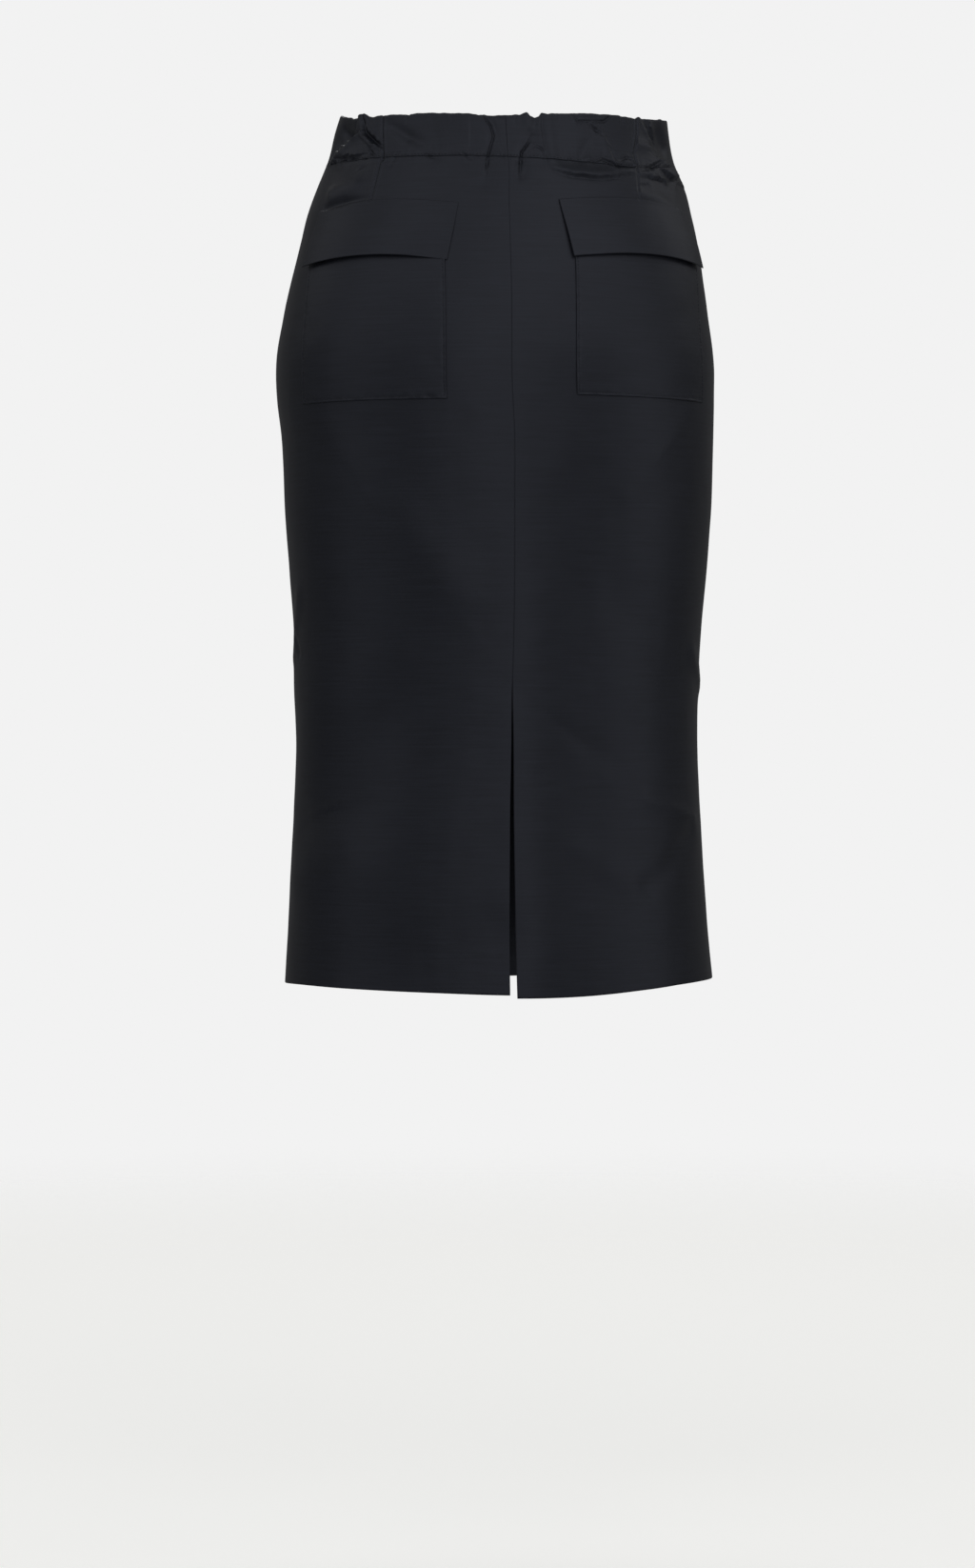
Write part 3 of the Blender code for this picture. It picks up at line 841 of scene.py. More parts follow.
def new_material(name: str) -> tuple[bpy.types.Material, bpy.types.NodeTree, bpy.types.Node]:
    """Starts a material.

    Args:
        name: what it is called.

    Returns:
        The material, its node tree and its shader.
    """
    made = bpy.data.materials.new(name)
    made.use_nodes = True
    return made, made.node_tree, made.node_tree.nodes["Principled BSDF"]


@dataclass(frozen=True)
class BlackSatin:
    """Black polyester satin, woven with a faint rib across the cloth.

    Its long floats give the eye a soft, broad sheen in place of a mirror, and the weave breaks it up. The
    real threads lie 0.1 mm apart. The weave is drawn at 0.7 mm and the ribs at 1.6 mm, so that they show.
    """

    deep: str = "#0a0b0f"
    light: str = "#13151b"
    tint_from: float = 0.32
    tint_to: float = 0.68
    roughness: float = 0.42
    specular: float = 0.42
    gloss_tint: str = "#e6ebff"
    weave_pitch: float = 0.0007
    weave_share: float = 0.4
    rib_pitch: float = 0.0016
    rib_length: float = 0.045
    bump_height: float = 0.00007

    def material(self) -> bpy.types.Material:
        """Makes the material on the piece's own map, which is in metres along the cloth.

        Returns:
            The material.
        """
        made, tree, shader = new_material("black_polyester_satin")
        ribs = self.grain(tree, (self.rib_length, self.rib_pitch), detail=2.0, roughness=0.6)
        weave = self.grain(tree, (self.weave_pitch, self.weave_pitch), detail=1.0, roughness=0.5)
        settings = {"data_type": "FLOAT", "Factor": self.weave_share}
        pattern = add_node(tree, "ShaderNodeMix", settings, {"A": ribs, "B": weave}).outputs["Result"]
        tint = add_node(tree, "ShaderNodeValToRGB", links={"Fac": pattern})
        ends = ((self.tint_from, self.deep), (self.tint_to, self.light))
        for stop, (place, colour) in zip(tint.color_ramp.elements, ends):
            stop.position = place
            stop.color = linear(colour)
        bump_settings = {"Strength": 1.0, "Distance": self.bump_height}
        bump = add_node(tree, "ShaderNodeBump", bump_settings, {"Height": pattern})
        tree.links.new(tint.outputs["Color"], shader.inputs["Base Color"])
        tree.links.new(bump.outputs["Normal"], shader.inputs["Normal"])
        shader.inputs["Roughness"].default_value = self.roughness
        shader.inputs["Specular IOR Level"].default_value = self.specular
        shader.inputs["Specular Tint"].default_value = linear(self.gloss_tint)
        return made

    @staticmethod
    def grain(
        tree: bpy.types.NodeTree,
        size: tuple[float, float],
        detail: float,
        roughness: float,
    ) -> bpy.types.NodeSocket:
        """Adds an uneven grain along the cloth.

        Args:
            tree: the material's node tree.
            size: a grain's length across and downwards, in metres.
            detail: how many finer grains it holds.
            roughness: how strong the finer grains are.

        Returns:
            The grain's value.
        """
        cloth_map = add_node(tree, "ShaderNodeUVMap", {"uv_map": "cloth"}).outputs["UV"]
        scale = (1 / size[0], 1 / size[1], 1.0)
        place = add_node(tree, "ShaderNodeMapping", {"Scale": scale}, {"Vector": cloth_map})
        settings = {"Scale": 1.0, "Detail": detail, "Roughness": roughness}
        links = {"Vector": place.outputs["Vector"]}
        return add_node(tree, "ShaderNodeTexNoise", settings, links).outputs["Fac"]


@dataclass(frozen=True)
class SewingThread:
    """Spun polyester sewing thread, a shade lighter than the satin and without its gloss.

    Its twist, 0.6 mm long as in real thread, gives the eye a fine, uneven surface.
    """

    colour: str = "#1e2025"
    roughness: float = 0.7
    specular: float = 0.2
    twist_pitch: float = 0.0006
    bump_height: float = 0.0001
    bump_strength: float = 0.5

    def material(self) -> bpy.types.Material:
        """Makes the material.

        Returns:
            The material.
        """
        made, tree, shader = new_material("spun_polyester_thread")
        place = add_node(tree, "ShaderNodeTexCoord")
        twist = add_node(
            tree,
            "ShaderNodeTexNoise",
            {"Scale": 1 / self.twist_pitch, "Detail": 1.0},
            {"Vector": place.outputs["Object"]},
        )
        bump_settings = {"Strength": self.bump_strength, "Distance": self.bump_height}
        bump = add_node(tree, "ShaderNodeBump", bump_settings, {"Height": twist.outputs["Fac"]})
        tree.links.new(bump.outputs["Normal"], shader.inputs["Normal"])
        shader.inputs["Base Color"].default_value = linear(self.colour)
        shader.inputs["Roughness"].default_value = self.roughness
        shader.inputs["Specular IOR Level"].default_value = self.specular
        return made


@dataclass(frozen=True)
class StudioPaper:
    """Matte studio paper: pale, without gloss, with a faint glow of its own that evens out its tone."""

    colour: str = "#f0f0ee"
    roughness: float = 0.9
    specular: float = 0.1
    glow: float = 0.20
    fade_from: float = 1.6
    fade_to: float = 3.0

    def material(self) -> bpy.types.Material:
        """Makes the material, which turns clear far from the middle.

        Returns:
            The material.
        """
        made, tree, shader = new_material("matte_studio_paper")
        shader.inputs["Base Color"].default_value = linear(self.colour)
        shader.inputs["Roughness"].default_value = self.roughness
        shader.inputs["Specular IOR Level"].default_value = self.specular
        shader.inputs["Emission Color"].default_value = linear(self.colour)
        place = add_node(tree, "ShaderNodeTexCoord").outputs["Object"]
        level = {"operation": "MULTIPLY", 1: (1.0, 1.0, 0.0)}
        flat = add_node(tree, "ShaderNodeVectorMath", level, {0: place}).outputs["Vector"]
        length = add_node(tree, "ShaderNodeVectorMath", {"operation": "LENGTH"}, {0: flat})
        reach = {
            "interpolation_type": "SMOOTHSTEP",
            "From Min": self.fade_from,
            "From Max": self.fade_to,
            "To Min": 1.0,
            "To Max": 0.0,
        }
        fade = add_node(tree, "ShaderNodeMapRange", reach, {"Value": length.outputs["Value"]})
        seen = add_node(tree, "ShaderNodeLightPath").outputs["Is Camera Ray"]
        share = {"operation": "MULTIPLY", 1: self.glow}
        glow = add_node(tree, "ShaderNodeMath", share, {0: seen})
        tree.links.new(fade.outputs["Result"], shader.inputs["Alpha"])
        tree.links.new(glow.outputs["Value"], shader.inputs["Emission Strength"])
        return made


# ---------------------------------------------------------------- cloth pieces


def marks(length: float, cell: float, edges: tuple[float, ...] = (0.0002, 0.0006, 0.0012, 0.0020)) -> Array:
    """Places of the lines of a grid along one side, close together at both ends.

    Args:
        length: the side's length in metres.
        cell: the distance between lines in the middle.
        edges: distances of the close lines from each end.

    Returns:
        The places as shares of the length.
    """
    start = edges[-1] + cell
    count = max(int(round((length - 2 * start) / cell)), 1)
    middle = np.linspace(start, length - start, count + 1)
    ends = np.array((0.0, *edges))
    return np.concatenate([ends, middle, (length - ends)[::-1]]) / length


def finished(name: str, shape: bmesh.types.BMesh, material: bpy.types.Material) -> bpy.types.Object:
    """Turns a finished shape into an object in the scene.

    Args:
        name: what the object is called.
        shape: its mesh, which is used up.
        material: its material.

    Returns:
        The object.
    """
    mesh = bpy.data.meshes.new(name)
    shape.to_mesh(mesh)
    shape.free()
    mesh.materials.append(material)
    made = bpy.data.objects.new(name, mesh)
    bpy.context.scene.collection.objects.link(made)
    return made


@dataclass
class ClothPiece:
    """A piece of cloth: a closed thin shell that stands for one node of the part."""

    node: str
    relief: Relief
    satin: bpy.types.Material
    rests_on: tuple[str, ...] = ()
    piece: bpy.types.Object | None = field(default=None, init=False)

    @property
    def form(self) -> WornForm:
        """The form that the cloth lies on."""
        return self.relief.form

    def place(self, across: Array, down: Array, inwards: Array) -> Laid:
        """Lays the piece on the form. Each kind of piece has its own way."""
        raise NotImplementedError

    def shell(self, columns: Array, rows: Array) -> None:
        """Makes the mesh from a grid that is extruded into a wall and laid on the form.

        Args:
            columns: places of the grid's lines across, as shares.
            rows: places of its lines downwards, as shares.
        """
        shape = bmesh.new()
        bmesh.ops.create_grid(shape, x_segments=len(columns) - 1, y_segments=len(rows) - 1, size=0.5)
        bmesh.ops.translate(shape, verts=shape.verts, vec=(0.5, 0.5, 0.0))
        copied = bmesh.ops.extrude_face_region(shape, geom=list(shape.faces), use_keep_orig=True)
        inner = [item for item in copied["geom"] if isinstance(item, bmesh.types.BMVert)]
        bmesh.ops.translate(shape, verts=inner, vec=(0.0, 0.0, 1.0))
        shares = np.array([vert.co[:] for vert in shape.verts])
        across = np.interp(shares[:, 0], np.linspace(0.0, 1.0, len(columns)), columns)
        down = np.interp(shares[:, 1], np.linspace(0.0, 1.0, len(rows)), rows)
        turn, drop, height = self.place(across, down, shares[:, 2])
        for vert, point in zip(shape.verts, self.form.lay(turn, drop, height)):
            vert.co = point
        bmesh.ops.recalc_face_normals(shape, faces=shape.faces)
        self.piece = finished(f"{self.node}_cloth", shape, self.satin)
        self.add_map(np.stack([turn * self.form.quarter_girth(drop), drop], axis=-1))

    def add_map(self, flat: Array) -> None:
        """Gives the piece a map of where each point lies along the cloth.

        Args:
            flat: the place of each point in metres, across and down.
        """
        mesh = self.piece.data
        corners = np.zeros(len(mesh.loops), np.int32)
        mesh.loops.foreach_get("vertex_index", corners)
        cloth_map = mesh.uv_layers.new(name="cloth")
        cloth_map.data.foreach_set("uv", flat[corners].astype(np.float32).ravel())
        mesh.shade_smooth()

    def dress(self, flat: tuple[float, float], held: str) -> None:
        """Args:
            flat: the width and length that the cloth was cut to, where it shows. Not used.
            held: how the sheet is held. Not used.
        """
        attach(self.piece, BODY)
        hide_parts(self.node)
        log.info("%s: %d faces", self.piece.name, len(self.piece.data.polygons))


@dataclass
class WaistCasing(ClothPiece):
    """A stretch of the elastic casing, gathered outside and plain inside."""

    turn_from: float = 0.0
    turn_to: float = 1.0
    middle_drop: float = 0.03
    height: float = 0.036
    cut_height: float = 0.040
    fullness: float = 1.16
    wall: float = 0.0032
    foot_wall: float = 0.0012
    foot_lap: float = 0.0008
    least_wall: float = 0.0004
    narrow_from: float = 0.004
    narrow_over: float = 0.028
    top_radius: float = 0.0016
    seam_radius: float = 0.0008
    seam_depth: float = 0.00025
    top_wave: Wave = Wave(0.0042, 1.0, 6.2, 0.0003)
    cell: float = 0.00068

    def build(self) -> None:
        """Builds and dresses the casing."""
        length = float(self.form.quarter_girth(self.middle_drop)) * (self.turn_to - self.turn_from)
        self.shell(marks(length, self.cell), marks(self.height, self.cell))
        self.dress(flat=(length * self.fullness, self.cut_height), held="gathered")

    def top_edge(self, turn: Array) -> tuple[Array, Array]:
        """The casing's top edge, with its small waves, tufts and nicks.

        Args:
            turn: how far round, in quarters.

        Returns:
            The edge's drop at each place, and the quarter's girth there.
        """
        top = self.form.waist_edge.at("drop", turn)
        girth = self.form.quarter_girth(top)
        top = top + self.top_wave.at(turn * girth, np.zeros_like(turn))
        for nick_across, half_width, up in EDGE_NICKS:
            gap = (turn * girth / MILLIMETRE - nick_across) / half_width
            top = top - up * MILLIMETRE * np.exp(-(gap**2))
        return top, girth

    def place(self, across: Array, down: Array, inwards: Array) -> Laid:
        """Lays the casing on the form.

        Args:
            across: shares of the stretch's length.
            down: shares from its top edge to its stitches.
            inwards: 0 on the outer face, 1 on the inner one.

        Returns:
            The turn, drop and height of each point.
        """
        turn = mix(self.turn_from, self.turn_to, across)
        top, girth = self.top_edge(turn)
        drop = mix(top, self.form.stitch_line.at("drop", turn), down)
        from_top = drop - top
        from_end = np.minimum(across, 1.0 - across) * girth * (self.turn_to - self.turn_from)
        over_top = (1.0 - rounded(from_top, self.top_radius)) * self.wall / 2
        seam = (1.0 - rounded(from_end, self.seam_radius)) * self.seam_depth
        outer = self.relief.at(turn, drop) - over_top - seam
        narrow = rise((from_top - self.narrow_from) / self.narrow_over)
        inner = -mix(self.wall, self.foot_wall + self.foot_lap, narrow) + over_top
        return turn, drop, np.where(inwards > 0.5, np.minimum(inner, outer - self.least_wall), outer)


def straight(turn: float) -> Edge:
    """A panel's edge that keeps to one turn at every depth."""
    return lambda drop: 0.0 * drop + turn


@dataclass
class Panel(ClothPiece):
    """A panel from the casing to the hem."""

    edge_from: Edge = straight(0.0)
    edge_to: Edge = straight(1.0)
    columns: Array | None = None
    flat: tuple[float, float] = (0.25, 0.684)
    height: float = 0.681
    # Rows near the waist, from, to and step in metres. Then even rows, from a depth in metres to a share
    # of the height, and last the shares at the hem.
    waist_rows: tuple[float, float, float] = (0.0, 0.062, 0.0014)
    middle_from: float = 0.0645
    middle_to: float = 0.990
    middle_rows: int = 208
    hem_rows: tuple[float, ...] = (0.994, 0.997, 0.999, 1.0)
    wall: float = 0.0007
    seam_radius: float = 0.0008
    seam_depth: float = 0.00014
    hem_radius: float = 0.0008

    def build(self) -> None:
        """Builds and dresses the panel. Its rows are closest near the waist, where the small folds are."""
        waist = np.arange(*self.waist_rows) / self.height
        middle = np.linspace(self.middle_from / self.height, self.middle_to, self.middle_rows)
        self.shell(self.columns, np.concatenate([waist, middle, self.hem_rows]))
        self.dress(flat=self.flat, held="hung")

    def place(self, across: Array, down: Array, inwards: Array) -> Laid:
        """Lays the panel on the form.

        Args:
            across: shares of its width.
            down: shares from the casing's stitches to the hem.
            inwards: 0 on the outer face, 1 on the inner one.

        Returns:
            The turn, drop and height of each point.
        """
        line = self.form.stitch_line
        flat_drop = mix(line.at("drop", 0.0), self.form.hem.at("drop", 0.0), down)
        turn = mix(self.edge_from(flat_drop), self.edge_to(flat_drop), across)
        hem = self.form.hem_drop(turn)
        drop = mix(line.at("drop", turn), hem, down)
        girth = self.form.quarter_girth(drop)
        span = (self.edge_to(flat_drop) - self.edge_from(flat_drop)) * girth
        from_end = np.minimum(across, 1.0 - across) * span
        seam = (1.0 - rounded(from_end, self.seam_radius)) * self.seam_depth
        hem_turn = (1.0 - rounded(hem - drop, self.hem_radius)) * self.wall / 2
        outer = self.relief.at(turn, drop) - seam
        return turn, drop, outer - hem_turn - np.where(inwards > 0.5, self.wall - 2 * hem_turn, 0.0)


@dataclass
class PatchPocket(ClothPiece):
    """A flat patch pocket, stitched down near its edges."""

    direction: float = 1.0
    mouth: float = 0.123
    foot: float = 0.249
    inner: float = 0.0550
    outer: float = 0.1835
    wall: float = 0.0010
    clearance: float = 0.0002
    inner_clearance: float = 0.0001
    edge_radius: float = 0.0005
    stitch_in: float = 0.0022
    stitch_dip: float = 0.00018
    stitch_dip_reach: float = 0.0007
    pucker: Wave = Wave(0.0048, 0.0048, 2.4, 0.00045)
    pucker_from_edge: float = 0.0010
    pucker_reach: float = 0.0035
    edges: tuple[float, ...] = (0.0001, 0.0003, 0.0006, 0.0011, 0.0017, 0.0022, 0.0028)
    cell: float = 0.0013

    def build(self) -> None:
        """Builds and dresses the pocket."""
        width = self.outer - self.inner
        height = self.foot - self.mouth
        self.shell(marks(width, self.cell, self.edges), marks(height, self.cell, self.edges))
        self.dress(flat=(width, height), held="hung")

    def height_above_panel(self, from_edge: Array, distance: Array, drop: Array) -> Array:
        """Height of the pocket's outer face above its panel.

        Args:
            from_edge: distance from the nearest stitched edge.
            distance: how far along the cloth from the back seam.
            drop: how far below the origin.

        Returns:
            The height at each place.
        """
        edge = rounded(from_edge, self.edge_radius)
        from_stitches = (from_edge - self.stitch_in) / self.stitch_dip_reach
        dip = self.stitch_dip * np.exp(-(from_stitches**2))
        near = np.exp(-np.abs(from_edge - self.pucker_from_edge) / self.pucker_reach)
        return self.clearance + edge * (self.wall - dip + near * self.pucker.at(distance, drop))

    def place(self, across: Array, down: Array, inwards: Array) -> Laid:
        """Lays the pocket on its panel.

        Args:
            across: shares of its width, from its edge by the back seam.
            down: shares from its mouth to its foot.
            inwards: 0 on the outer face, 1 on the inner one.

        Returns:
            The turn, drop and height of each point.
        """
        drop = mix(self.mouth, self.foot, down)
        distance = mix(self.inner, self.outer, across)
        turn = self.direction * distance / self.form.quarter_girth(drop)
        from_side = np.minimum(distance - self.inner, self.outer - distance)
        from_edge = np.minimum(from_side, self.foot - drop)
        outer = self.height_above_panel(from_edge, distance, drop)
        height = self.relief.at(turn, drop) + np.where(inwards > 0.5, self.inner_clearance, outer)
        return turn, drop, height


@dataclass
class PocketFlap(ClothPiece):
    """A flap of double cloth, which steps out over the pocket's mouth and lifts at its foot."""

    direction: float = 1.0
    top: float = 0.0890
    inner_top: float = 0.0425
    inner_foot: float = 0.0533
    outer_top: float = 0.1750
    outer_foot: float = 0.1870
    height: float = 0.0475
    arch: float = 0.0045
    clearance: float = 0.0003
    lift: float = 0.0030
    lift_power: float = 1.2
    lift_reach: float = 0.4
    inner_lift: float = 0.0
    inner_share: float = 1.0
    inner_reach: float = 0.25
    step_out: float = 0.0013
    step_end: float = 0.70
    wall: float = 0.0012
    edge_radius: float = 0.0006
    edges: tuple[float, ...] = (0.0001, 0.0003, 0.0006, 0.0010, 0.0016)
    stretch: float = 0.002
    cell: float = 0.0012

    def build(self) -> None:
        """Builds and dresses the flap."""
        width = self.outer_top - self.inner_top
        self.shell(marks(width, self.cell, self.edges), marks(self.height, self.cell, self.edges))
        self.dress(flat=(width + self.stretch, self.height + self.stretch), held="hung")

    def place(self, across: Array, down: Array, inwards: Array) -> Laid:
        """Lays the flap over its panel and the pocket's mouth.

        Args:
            across: shares of its width, from its edge by the back seam.
            down: shares from its top to its foot.
            inwards: 0 on the outer face, 1 on the inner one.

        Returns:
            The turn, drop and height of each point.
        """
        drop = self.top + self.height * down - self.arch * np.sin(np.pi * across)
        inner_edge = mix(self.inner_top, self.inner_foot, down)
        outer_edge = mix(self.outer_top, self.outer_foot, down)
        distance = mix(inner_edge, outer_edge, across)
        turn = self.direction * distance / self.form.quarter_girth(drop)
        from_side = np.minimum(distance - inner_edge, outer_edge - distance)
        from_edge = np.minimum(np.minimum(from_side, self.height * down), self.height * (1.0 - down))
        edge = rounded(from_edge, self.edge_radius)
        steps = self.step_out * rise(down / self.step_end)
        lift = mix(self.inner_lift, self.lift, rise(across / self.lift_reach)) * down**self.lift_power
        thick = mix(self.inner_share, 1.0, rise(across / self.inner_reach))
        base = self.relief.at(turn, drop) + self.clearance + steps * thick + lift
        middle = self.wall / 2 * thick
        return turn, drop, base + middle + np.where(inwards > 0.5, -middle, middle) * edge


# ---------------------------------------------------------------- stitches


@dataclass
class StitchRow:
    """A row of lockstitches: small bars of thread that sink into the cloth at both ends."""

    name: str
    thread: bpy.types.Material
    path: Array
    outward: Array
    pitch: float = 0.0029
    stitch: float = 0.0023
    radius: float = 0.00021
    sink: float = 0.00016

    def build(self) -> None:
        """Builds the row along its path."""
        steps = np.linalg.norm(np.diff(self.path, axis=0), axis=1)
        along = np.concatenate([[0.0], np.cumsum(steps)])
        shape = bmesh.new()
        for start in np.arange(self.pitch / 2, along[-1] - self.pitch, self.pitch):
            self.add_stitch(shape, along, start)
        bmesh.ops.recalc_face_normals(shape, faces=shape.faces)
        piece = finished(self.name, shape, self.thread)
        piece.data.shade_smooth()
        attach(piece, BODY)
        log.info("%s: %d faces", piece.name, len(piece.data.polygons))

    def add_stitch(self, shape: bmesh.types.BMesh, along: Array, start: float) -> None:
        """Adds one stitch.

        Args:
            shape: the row's mesh so far.
            along: length of the path at each of its points.
            start: where along the path the stitch begins.
        """
        begin = self.on_path(self.path, along, start)
        end = self.on_path(self.path, along, start + self.stitch)
        up = self.on_path(self.outward, along, start + self.stitch / 2).normalized()
        made = bmesh.ops.create_icosphere(shape, subdivisions=1, radius=1.0)
        direction = (end - begin).normalized()
        side = up.cross(direction).normalized()
        centre = (begin + end) / 2
        half = (end - begin).length / 2
        for vert in made["verts"]:
            long, wide, high = vert.co
            raised = high * self.radius + self.sink * (1.0 - 2.0 * long**2)
            vert.co = centre + direction * long * half + side * wide * self.radius + up * raised

    @staticmethod
    def on_path(values: Array, along: Array, place: float) -> Vector:
        """The value of a path's points at a length along it."""
        return Vector([np.interp(place, along, values[:, axis]) for axis in range(3)])


# ---------------------------------------------------------------- the studio


@dataclass
class Studio:
    """A pale floor, soft lights and the camera.

    The air lights the cloth evenly and shows in its gloss only dimly, so that the skirt's sides stay dark.
    """

    floor_drop: float = 1.18
    floor_radius: float = 4.0
    floor_sides: int = 96
    background: str = "#f2f2f2"
    air: str = "#ffffff"
    ambient: float = 0.52
    glossy_ambient: float = 0.14
    camera_place: tuple[float, float, float] = (0.3319, 3.1836, -0.52)
    camera_look: tuple[float, float, float] = (-0.0993, -0.9951, -0.01274)
    lens: float = 87.48
    sensor_width: float = 36.0
    light_size: float = 2.4
    light_distance: float = 4.0
    light_aim: float = -0.35
    # Soft boxes all round: degrees from behind the skirt towards its right, degrees up, and watts.
    lights: tuple[tuple[str, float, float, float], ...] = (
        ("low_left", -60.0, 0.0, 5.2),
        ("low_middle", 0.0, 0.0, 10.6),
        ("low_right", 60.0, 0.0, 9.4),
        ("far_left", -100.0, 35.0, 7.0),
        ("left", -55.0, 30.0, 7.6),
        ("near_left", -20.0, 30.0, 6.2),
        ("near_right", 15.0, 30.0, 11.4),
        ("right", 45.0, 30.0, 8.8),
        ("far_right", 100.0, 35.0, 8.5),
        ("high_left", -35.0, 55.0, 7.6),
        ("high_right", 35.0, 55.0, 4.6),
        ("front", 180.0, 45.0, 26.0),
    )

    def build(self) -> None:
        """Builds the floor, the lights, the world and the camera."""
        self.add_floor()
        for name, turned, raised, power in self.lights:
            self.add_light(name, math.radians(turned), math.radians(raised), power)
        self.set_world()
        self.add_camera()
        log.info("studio: floor %.2f m below the waist, %d lights", self.floor_drop, len(self.lights))

    def add_floor(self) -> None:
        """Adds a round floor that fades out far from the skirt."""
        shape = bmesh.new()
        bmesh.ops.create_circle(shape, cap_ends=True, segments=self.floor_sides, radius=self.floor_radius)
        bmesh.ops.translate(shape, verts=shape.verts, vec=(0.0, 0.0, -self.floor_drop))
        floor = finished("studio_floor", shape, StudioPaper().material())
        floor.visible_glossy = False

    def add_light(self, name: str, turned: float, raised: float, power: float) -> None:
        """Adds a square soft light that faces the middle of the skirt.

        Args:
            name: what it is called.
            turned: its direction from behind the skirt towards the skirt's right, in radians.
            raised: its direction above the horizon, in radians.
            power: its power in watts.
        """
        level = math.cos(raised)
        away = Vector((-math.sin(turned) * level, math.cos(turned) * level, math.sin(raised)))
        light = bpy.data.lights.new(name, "AREA")
        light.size = self.light_size
        light.energy = power
        lamp = bpy.data.objects.new(name, light)
        lamp.location = Vector((0.0, 0.0, self.light_aim)) + away * self.light_distance
        lamp.rotation_euler = (-away).to_track_quat("-Z", "Y").to_euler()
        bpy.context.scene.collection.objects.link(lamp)

    def set_world(self) -> None:
        """Sets an even white background and a dim even light."""
        world = bpy.data.worlds.new("studio_air")
        world.use_nodes = True
        tree = world.node_tree
        tree.nodes.clear()

        def sky(colour: str, strength: float) -> bpy.types.NodeSocket:
            """An even light of a colour and strength."""
            settings = {"Color": linear(colour), "Strength": strength}
            return add_node(tree, "ShaderNodeBackground", settings).outputs["Background"]

        seen = sky(self.background, 1.0)
        lit = sky(self.air, self.ambient)
        dim = sky(self.air, self.glossy_ambient)
        path = add_node(tree, "ShaderNodeLightPath")
        parts = {"Fac": path.outputs["Is Glossy Ray"], 1: lit, 2: dim}
        around = add_node(tree, "ShaderNodeMixShader", links=parts).outputs["Shader"]
        parts = {"Fac": path.outputs["Is Camera Ray"], 1: around, 2: seen}
        both = add_node(tree, "ShaderNodeMixShader", links=parts).outputs["Shader"]
        add_node(tree, "ShaderNodeOutputWorld", links={"Surface": both})
        bpy.context.scene.world = world
        bpy.context.scene.view_settings.view_transform = "Standard"

    def add_camera(self) -> None:
        """Adds the camera at the photograph's viewing angle."""
        camera = bpy.data.objects.new("camera", bpy.data.cameras.new("camera"))
        camera.data.lens = self.lens
        camera.data.sensor_width = self.sensor_width
        camera.location = self.camera_place
        camera.rotation_euler = Vector(self.camera_look).to_track_quat("-Z", "Y").to_euler()
        bpy.context.scene.collection.objects.link(camera)
        bpy.context.scene.camera = camera


# ---------------------------------------------------------------- the skirt


@dataclass(frozen=True)
class PocketPlace:
    """Where a pocket and its flap sit, and how the flap's edge by the back seam stands off."""

    side: str
    direction: float
    flap_top: float
    foot: float
    inner_lift: float
    inner_share: float


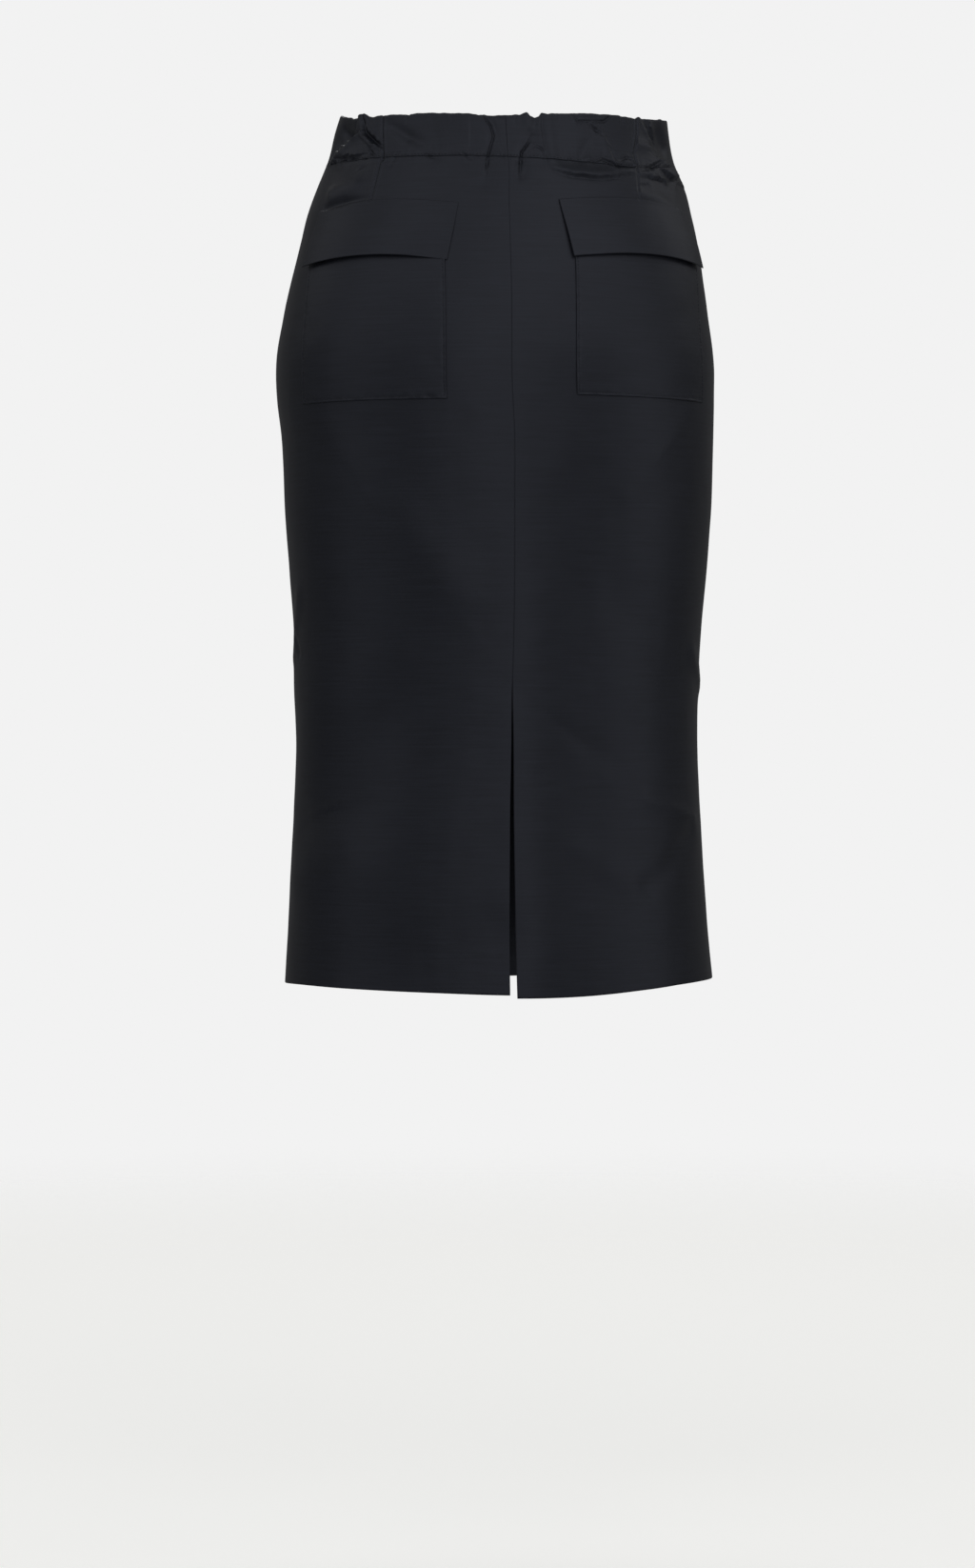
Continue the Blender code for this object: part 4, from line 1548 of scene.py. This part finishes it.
@dataclass
class SatinSkirt:
    """The whole skirt."""

    form: WornForm = field(default_factory=WornForm)
    # Each stretch's name, the turns where it starts and ends, and the distance between its lines.
    casings: tuple[tuple[str, float, float, float], ...] = (
        ("back_left", 0.0, 1.0, 0.00068),
        ("back_right", -1.0, 0.0, 0.00068),
        ("front", 1.0, 3.0, 0.0010),
    )
    panel_width: float = 0.245
    # Lines down a back panel: distances from its seams in metres, then from, to and step beside the slit
    # in metres and along the dart in shares of the width.
    seam_lines: tuple[float, ...] = (0.0, 0.0003, 0.0008)
    slit_lines: tuple[float, float, float] = (0.0, 0.046, 0.0013)
    dart_lines: tuple[float, float, float] = (0.518, 0.578, 0.0042)
    lines_before_dart: int = 42
    lines_after_dart: int = 56
    front_flat: tuple[float, float] = (0.49, 0.684)
    front_cell: float = 0.0032
    mouth_below_flap_top: float = 0.034
    pocket_places: tuple[PocketPlace, ...] = (
        PocketPlace("left", 1.0, 0.0890, 0.2490, 0.0, 0.4),
        PocketPlace("right", -1.0, 0.0855, 0.2450, 0.0012, 1.0),
    )
    pocket_path_points: int = 90
    casing_path_points: int = 1200
    casing_stitches_up: float = 0.0012

    def build(self) -> None:
        """Builds the casing, the panels, the pockets, the flaps and their stitches in order."""
        satin = BlackSatin().material()
        thread = SewingThread().material()
        relief = Relief(self.form)
        for side, start, end, cell in self.casings:
            node = f"waist_casing_{side}"
            WaistCasing(node, relief, satin, turn_from=start, turn_to=end, cell=cell).build()
        self.add_panels(relief, satin)
        for place in self.pocket_places:
            self.add_pocket(place, relief, satin, thread)
        self.add_casing_stitches(relief, thread)

    def back_columns(self) -> Array:
        """The lines down a back panel: close at its seams, beside the slit and along the dart.

        Returns:
            Their places as shares of its width, from the back seam.
        """
        seam = np.array(self.seam_lines) / self.panel_width
        slit = np.arange(*self.slit_lines) / self.panel_width
        dart = np.arange(*self.dart_lines)
        before = np.linspace(slit[-1], dart[0], self.lines_before_dart)[1:-1]
        after = np.linspace(dart[-1], 1.0, self.lines_after_dart)[1:-1]
        return np.concatenate([seam, slit[1:], before, dart, after, 1.0 - seam[::-1]])

    def slit_edge(self, opening: float) -> Edge:
        """A back panel's edge at the back seam and the slit.

        Args:
            opening: how far it stands off at the hem, towards the wearer's left.

        Returns:
            The edge.
        """
        form = self.form
        return lambda drop: opening * form.slit_share(drop) / form.quarter_girth(drop)

    def add_panels(self, relief: Relief, satin: bpy.types.Material) -> None:
        """Adds the two back panels and the front.

        Args:
            relief: the height of the cloth.
            satin: its material.
        """
        columns = self.back_columns()
        Panel(
            "back_panel_left",
            relief,
            satin,
            ("waist_casing_back_left_cloth",),
            edge_from=self.slit_edge(self.form.slit_left),
            columns=columns,
        ).build()
        Panel(
            "back_panel_right",
            relief,
            satin,
            ("waist_casing_back_right_cloth",),
            edge_from=straight(-1.0),
            edge_to=self.slit_edge(-self.form.slit_right),
            columns=(1.0 - columns)[::-1],
        ).build()
        Panel(
            "front_panel",
            relief,
            satin,
            ("waist_casing_front_cloth",),
            edge_from=straight(1.0),
            edge_to=straight(3.0),
            columns=marks(self.front_flat[0], self.front_cell),
            flat=self.front_flat,
        ).build()

    def add_pocket(
        self,
        place: PocketPlace,
        relief: Relief,
        satin: bpy.types.Material,
        thread: bpy.types.Material,
    ) -> None:
        """Adds a pocket with its stitches and its flap.

        Args:
            place: where it sits.
            relief: the height of the cloth.
            satin: its material.
            thread: the stitches' material.
        """
        panel = (f"back_panel_{place.side}_cloth",)
        pocket = PatchPocket(
            f"pocket_{place.side}",
            relief,
            satin,
            panel,
            direction=place.direction,
            mouth=place.flap_top + self.mouth_below_flap_top,
            foot=place.foot,
        )
        pocket.build()
        self.add_pocket_stitches(pocket, place.side, thread)
        PocketFlap(
            f"pocket_flap_{place.side}",
            relief,
            satin,
            panel,
            direction=place.direction,
            top=place.flap_top,
            inner_lift=place.inner_lift,
            inner_share=place.inner_share,
        ).build()

    def add_pocket_stitches(self, pocket: PatchPocket, side: str, thread: bpy.types.Material) -> None:
        """Adds the row of stitches down one side of a pocket, along its foot and up the other side.

        Args:
            pocket: the pocket.
            side: left or right.
            thread: the stitches' material.
        """
        inset = pocket.stitch_in
        count = self.pocket_path_points
        low = pocket.foot - inset
        left = pocket.inner + inset
        right = pocket.outer - inset
        down = np.linspace(pocket.mouth, low, count)
        up = np.linspace(low, pocket.mouth, count)
        drops = np.concatenate([down, np.full(count, low), up])
        foot = np.linspace(left, right, count)
        distances = np.concatenate([np.full(count, left), foot, np.full(count, right)])
        turn = pocket.direction * distances / self.form.quarter_girth(drops)
        above = pocket.height_above_panel(np.full_like(drops, inset), distances, drops)
        path = self.form.lay(turn, drops, pocket.relief.at(turn, drops) + above)
        StitchRow(f"pocket_stitches_{side}", thread, path, self.form.outward(turn, drops)).build()

    def add_casing_stitches(self, relief: Relief, thread: bpy.types.Material) -> None:
        """Adds the row of stitches round the foot of the casing.

        Args:
            relief: the height of the cloth.
            thread: the stitches' material.
        """
        turn = np.linspace(-1.0, 3.0, self.casing_path_points)
        drop = self.form.stitch_line.at("drop", turn) - self.casing_stitches_up
        path = self.form.lay(turn, drop, relief.at(turn, drop))
        StitchRow("casing_stitches", thread, path, self.form.outward(turn, drop)).build()


def main() -> None:
    """Builds the studio and the skirt."""
    Studio().build()
    SatinSkirt().build()


if __name__ == "__main__":
    main()
